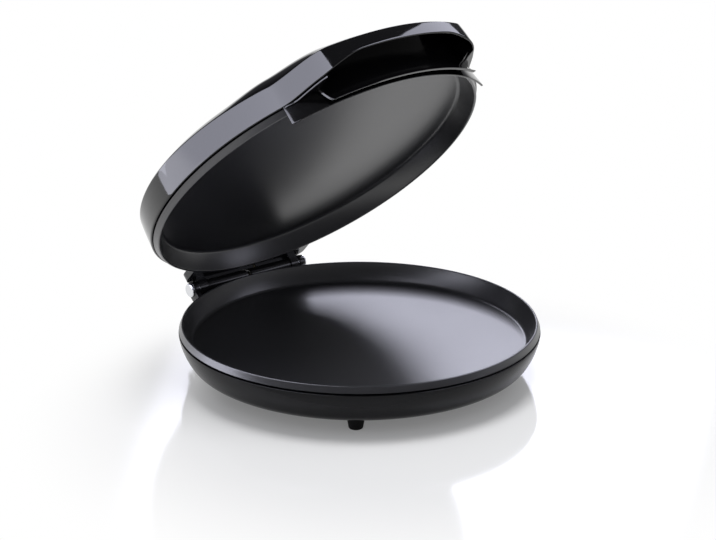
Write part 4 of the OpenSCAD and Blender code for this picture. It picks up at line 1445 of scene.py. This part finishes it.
    def build_feet(self) -> None:
        """Makes the four rubber feet, each with a rounded tread and a peg into the housing."""
        r, top, bend = self.foot_radius, LAYOUT.ground_gap + 1, self.tread_round
        tread = arc((r - self.tread_setback, bend), bend, -90, -5, 8).tolist()
        peg = [(self.peg_radius, top), (self.peg_radius, self.barb_z - 0.1)]
        peg += [(self.barb_radius, self.barb_z), (self.peg_tip, self.peg_top), (0.0, self.peg_top)]
        profile = [(0.0, 0.0), *tread, (r, top - 0.4), (r - 0.3, top), *peg]
        foot = joined([turned(profile, 72, poles=True)])
        a = math.radians(self.foot_angle)
        x, y = self.foot_circle * math.sin(a), self.foot_circle * math.cos(a)
        for end, sy in (("front", -y), ("rear", y)):
            for side, sx in (("left", -x), ("right", x)):
                name, there = f"foot_{end}_{side}", foot.moved((sx, sy, 0))
                make_piece(f"rubber_{name}", there, Palette.rubber, Body.BASE, "foot_rubber", [name])


# ---------------------------------------------------------------- hinge


@dataclass
class Hinge:
    """The capped ears on the base and the barrels between the lid's knuckles."""

    ear_x: float = 60.0
    ear_thickness: float = 6.0
    ear_radius: float = 7.0
    ear_slope: float = 50.0
    ear_low: float = 18.0
    ear_high: float = 36.0
    ear_front: float = 20.0
    ear_rear: float = 5.0
    cap_radius: float = 6.7
    cap_height: float = 2.6
    barrel_radius: float = 6.0
    barrel_bore: float = 4.0
    barrel_gap: float = 3.5
    knuckle_x: float = 50.0
    clearance: float = 0.15

    def ear(self) -> Patch:
        """An ear: a foot that widens to a round end along a tangent, with rounded edges.

        Returns:
            The right-hand ear.
        """
        y, front, rear = LAYOUT.hinge_y, LAYOUT.hinge_y - self.ear_front, LAYOUT.hinge_y - self.ear_rear
        end = arc((y, LAYOUT.hinge_z), self.ear_radius, -self.ear_slope, 184, 32)
        meets = end[0, 1] - (end[0, 0] - rear) / math.tan(math.radians(self.ear_slope))
        foot = [(front, self.ear_high), (front, self.ear_low), (rear, self.ear_low), (rear, meets)]
        outline = np.vstack([end, filleted(foot, [0, 1.5, 1.5, 0], 4)])
        return slab(outline, self.ear_x, self.ear_x + self.ear_thickness, 0.6, 4).with_axes((2, 0, 1))

    def cap(self) -> Patch:
        """A domed disc on the outside of an ear, with a rolled rim and a shallow dished face.

        Returns:
            The right-hand cap.
        """
        r, h = self.cap_radius, self.cap_height
        roll = arc((r - h * 0.6, h * 0.4), h * 0.6, -20, 75, 10)
        face = [(r * 0.62, h * 0.93), (r * 0.40, h * 0.90), (r * 0.2, h * 0.89), (0.0, h * 0.885)]
        section = np.vstack([[(0.0, 0.0), (r - h * 0.55, 0.0)], roll, face])
        return LAYOUT.about_hinge(turned(section, 72, poles=True), self.ear_x + self.ear_thickness)

    def barrel(self) -> Patch:
        """A round tube with rounded rims.

        Returns:
            The right-hand barrel.
        """
        start, stop = self.barrel_gap / 2, self.knuckle_x - self.clearance
        bore, r = self.barrel_bore, self.barrel_radius
        section = filleted([(bore, start), (r, start), (r, stop), (bore, stop)], [0.3, 0.8, 0.8, 0.3])
        return LAYOUT.about_hinge(turned(section, 72))

    def build(self) -> None:
        """Makes ears, caps and barrels for both sides."""
        ear, barrel, cap = joined([self.ear()]), self.barrel(), self.cap()
        for side, e, b in (("right", ear, barrel), ("left", ear.mirrored(), barrel.mirrored())):
            make_piece(f"ear_{side}", e, Palette.hinge, Body.BASE, "hinge_black", [f"hinge_ear_{side}"])
            dress = (Palette.hinge, Body.LID, "hinge_black", [f"hinge_barrel_{side}"])
            make_piece(f"barrel_{side}", LAYOUT.swung(b), *dress)
        caps = joined([cap, cap.mirrored()])
        make_piece("ear_caps", caps, Palette.cap, Body.BASE, "cap_metal", ["hinge_caps"], 40.0)


class InnerWorks:
    """What the solids already show as it is: fasteners, heaters, wiring and lamps."""

    finishes: Mapping[Finish, str] = {
        Palette.zinc: "base_screws plate_screws ear_screws reflector_nuts lower_heater_clips "
        "upper_heater_clips lower_clip_screws upper_clip_screws",
        Palette.ceramic: "terminal_block lower_thermostat upper_thermostat lower_thermal_fuse "
        "upper_thermal_fuse",
        Palette.braid: "base_wiring lid_wiring",
        Palette.rubber: "cord_bush",
        Palette.hinge: "hinge_cover shell_studs",
        Palette.ground: "hinge_pin_left hinge_pin_right hinge_washers",
        Palette.sheath: "lower_heater upper_heater",
        Palette.sheet: "lower_reflector upper_reflector",
        Palette.red: "power_lens",
        Palette.green: "ready_lens",
        Palette.pearl: "lamp_capsules",
    }

    def build(self, nodes: Mapping[str, bpy.types.Object]) -> None:
        """Gives each solid that stays in view its finish.

        Args:
            nodes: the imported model's objects by name.
        """
        for finish, names in self.finishes.items():
            for name in names.split():
                slots = nodes[name].data.materials
                slots.clear()
                slots.append(finish.material())
                LOG.info("%s: dressed in %s", name, finish.name)


# ---------------------------------------------------------------- studio


def towards(azimuth: float, elevation: float) -> Vector:
    """The direction (sin a cos e, -cos a cos e, sin e) of an azimuth and elevation in degrees."""
    a, e = math.radians(azimuth), math.radians(elevation)
    return Vector((math.sin(a) * math.cos(e), -math.cos(a) * math.cos(e), math.sin(e)))


class Shows(Enum):
    """What a lamp acts on: the colours or the gloss."""

    COLOUR = "colour"
    GLOSS = "gloss"


@dataclass
class SoftBox:
    """A soft rectangular lamp, given by where it stands as seen from the object.

    It stands at centre + distance * towards(azimuth, elevation). It faces back along
    towards(azimuth + turn, elevation + tip) and is rolled about that line. Its sizes are
    in metres, and its level goes from 1 - fall / 2 to 1 + fall / 2 of itself across it.
    """

    name: str
    azimuth: float
    elevation: float
    distance: float
    width: float
    height: float
    level: float
    turn: float = 0.0
    tip: float = 0.0
    roll: float = 0.0
    fall_x: float = 0.0
    fall_y: float = 0.0
    shows: Shows = Shows.GLOSS
    centre: Triple = (0.0, 0.0, 0.18)
    cool: Triple = (0.96, 0.97, 1.14)
    dimmest: float = 0.02

    def turned_by(self) -> Matrix:
        """The lamp's own axes: across, along and back, rolled about the last.

        Returns:
            The axes as the columns of a matrix.
        """
        out = towards(self.azimuth + self.turn, self.elevation + self.tip)
        bearing, roll = math.radians(self.azimuth + self.turn), math.radians(self.roll)
        right = Vector((math.cos(bearing), math.sin(bearing), 0.0))
        up, c, s = out.cross(right), math.cos(roll), math.sin(roll)
        return Matrix((c * right + s * up, c * up - s * right, out)).transposed()

    def build(self) -> None:
        """Adds the lamp; its radiance is `level`, and falls evenly across it where asked."""
        data = bpy.data.lights.new(self.name, "AREA")
        data.shape, data.size, data.size_y = "RECTANGLE", self.width, self.height
        data.color = self.cool if self.shows is Shows.GLOSS else WHITE
        data.energy = self.level * math.pi * self.width * self.height
        if self.fall_x or self.fall_y:
            data.use_nodes = True
            tree = Tree(data.node_tree)
            x, y, _ = tree.axes(tree.wire("ShaderNodeNewGeometry", output="Parametric"))
            share = (1.0 + (x - 0.5) * self.fall_x + (y - 0.5) * self.fall_y).at_least(self.dimmest)
            tree.surface("Light", tree.shine("Emission", WHITE, share))
        lamp = linked(self.name, data)
        lamp.location = Vector(self.centre) + towards(self.azimuth, self.elevation) * self.distance
        lamp.rotation_euler = self.turned_by().to_euler()
        lamp.visible_camera = False
        lamp.visible_diffuse = self.shows is Shows.COLOUR
        lamp.visible_glossy = self.shows is Shows.GLOSS


# One broad lamp for the colours and five soft boxes for the gloss.
LAMPS = (
    SoftBox("overhead", 20.0, 88.0, 1.9, 1.0, 0.8, level=8.6, shows=Shows.COLOUR),
    SoftBox(
        "left_window", -121.6, 18.9, 0.765, 1.47, 0.72, level=4.6,
        turn=47.0, tip=-25.2, roll=45.3, fall_x=0.8, fall_y=-0.2,
    ),
    SoftBox("left_rear", -152.0, -4.0, 1.6, 0.8, 0.5, level=1.6),
    SoftBox(
        "right_front", 76.9, 48.5, 1.84, 0.53, 2.7, level=4.8,
        turn=20.7, tip=9.8, roll=39.9, fall_x=-0.15, fall_y=0.99,
    ),
    SoftBox("right_low", 46.0, 21.0, 1.8, 0.75, 0.55, level=1.5),
    SoftBox(
        "right_rear", 140.3, 29.7, 2.67, 1.37, 1.41, level=4.2,
        turn=-23.5, tip=13.6, roll=-0.5, fall_x=-0.4, fall_y=-0.3,
    ),
)


@dataclass
class Studio:
    """Camera, floor, world and lamps, in metres and degrees, with the lens in millimetres."""

    azimuth: float = -39.6
    elevation: float = 19.0
    distance: float = 1.717
    target: Triple = (-0.0011, 0.0009, 0.0960)
    lens: float = 96.3
    sensor: float = 36.0
    floor_rings: tuple[float, ...] = (0.5, 1.5, 3.0, 6.0)
    floor_drop: float = 0.0002
    floor_colour: Triple = (0.88, 0.88, 0.89)
    floor_roughness: float = 0.10
    floor_specular: float = 0.4
    floor_lift: float = 0.16
    fade_shift: tuple[float, float] = (0.03, 0.10)
    fade_start: float = 0.15
    fade_stop: float = 0.34
    sky: Triple = (0.97, 0.98, 1.0)
    sky_level: float = 0.42
    ceiling: Triple = (0.10, 0.10, 0.11)

    def camera(self) -> None:
        """Sets the camera on the line of sight through the target."""
        back = towards(self.azimuth, self.elevation)
        data = bpy.data.cameras.new("camera")
        data.lens, data.sensor_width, data.sensor_fit = self.lens, self.sensor, "HORIZONTAL"
        data.clip_end = 50.0
        made = linked("camera", data)
        made.location = Vector(self.target) + back * self.distance
        made.rotation_euler = (-back).to_track_quat("-Z", "Y").to_euler()
        bpy.context.scene.camera = made

    @staticmethod
    def rays(tree: Tree) -> list[Wire]:
        """Whether a ray comes from the camera, from a gloss, or through something clear."""
        paths = tree.node("ShaderNodeLightPath").outputs
        return [Wire(tree, paths[f"Is {kind} Ray"]) for kind in ("Camera", "Glossy", "Transmission")]

    def world(self) -> None:
        """White to the eye; gloss sees white at the horizon under a dark ceiling; the rest is sky."""
        world = bpy.data.worlds.new("studio")
        bpy.context.scene.world = world
        world.use_nodes = True
        tree = Tree(world.node_tree)
        seen, glossy, clear = self.rays(tree)
        up = tree.axes(tree.wire("ShaderNodeTexCoord", output="Generated"))[2]
        reflected = tree.blend(up.eased(0.0, 0.16), WHITE, self.ceiling)
        light = tree.shine("Background", self.sky, self.sky_level)
        lit = tree.mixed((glossy + clear).clamped(), light, tree.shine("Background", reflected))
        tree.surface("World", tree.mixed(seen, lit, tree.shine("Background", WHITE)))

    def floor(self) -> None:
        """A pale disc that keeps the shadow near the object and turns white further out.

        It is rings of points round a middle point, all in one level plane.
        """
        grid = around(self.floor_rings, full_turn(96)[:, None], -self.floor_drop)
        rows, columns = grid.shape[:2]
        here = np.arange(rows) * columns
        fan = np.column_stack([here, np.roll(here, -1), np.full(rows, grid.size // 3)]).tolist()
        points = np.vstack([grid.reshape(-1, 3), (0.0, 0.0, -self.floor_drop)])
        mesh = mesh_of("floor", Patch(points / MM, quads(rows, columns, True, False) + fan))
        floor = linked("floor", mesh)
        material = bpy.data.materials.new("pale_floor")
        material.use_nodes = True
        tree = Tree(material.node_tree)
        x, y, _ = tree.axes(tree.place())
        x, y = x + self.fade_shift[0], y + self.fade_shift[1]
        far = ((x * x + y * y) ** 0.5).eased(self.fade_start, self.fade_stop)
        seen, glossy, clear = self.rays(tree)
        eye = (seen + glossy + clear).clamped()
        sockets = {
            "Base Color": self.floor_colour,
            "Roughness": self.floor_roughness,
            "Specular IOR Level": self.floor_specular,
        }
        sheen = tree.wire("ShaderNodeBsdfPrincipled", None, sockets)
        lift = tree.shine("Emission", WHITE, eye * self.floor_lift)
        near = tree.wire("ShaderNodeAddShader", None, {0: sheen, 1: lift})
        tree.surface("Material", tree.mixed(far * eye, near, tree.shine("Emission", WHITE)))
        mesh.materials.append(material)

    def build(self) -> None:
        """Sets up the whole studio."""
        self.camera()
        self.world()
        self.floor()
        for lamp in LAMPS:
            lamp.build()
        bpy.context.scene.view_settings.view_transform = "Standard"


def main() -> None:
    """Builds the sub-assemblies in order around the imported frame."""
    logging.basicConfig(level=logging.INFO, format="%(message)s")
    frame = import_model()
    Studio().build()
    shell = LidShell()
    for part in (shell, FrontSkirts(shell), CookingPlate(), BaseHousing(), Hinge()):
        part.build()
    InnerWorks().build(frame["nodes"])
    bpy.context.view_layer.update()


if __name__ == "__main__":
    main()
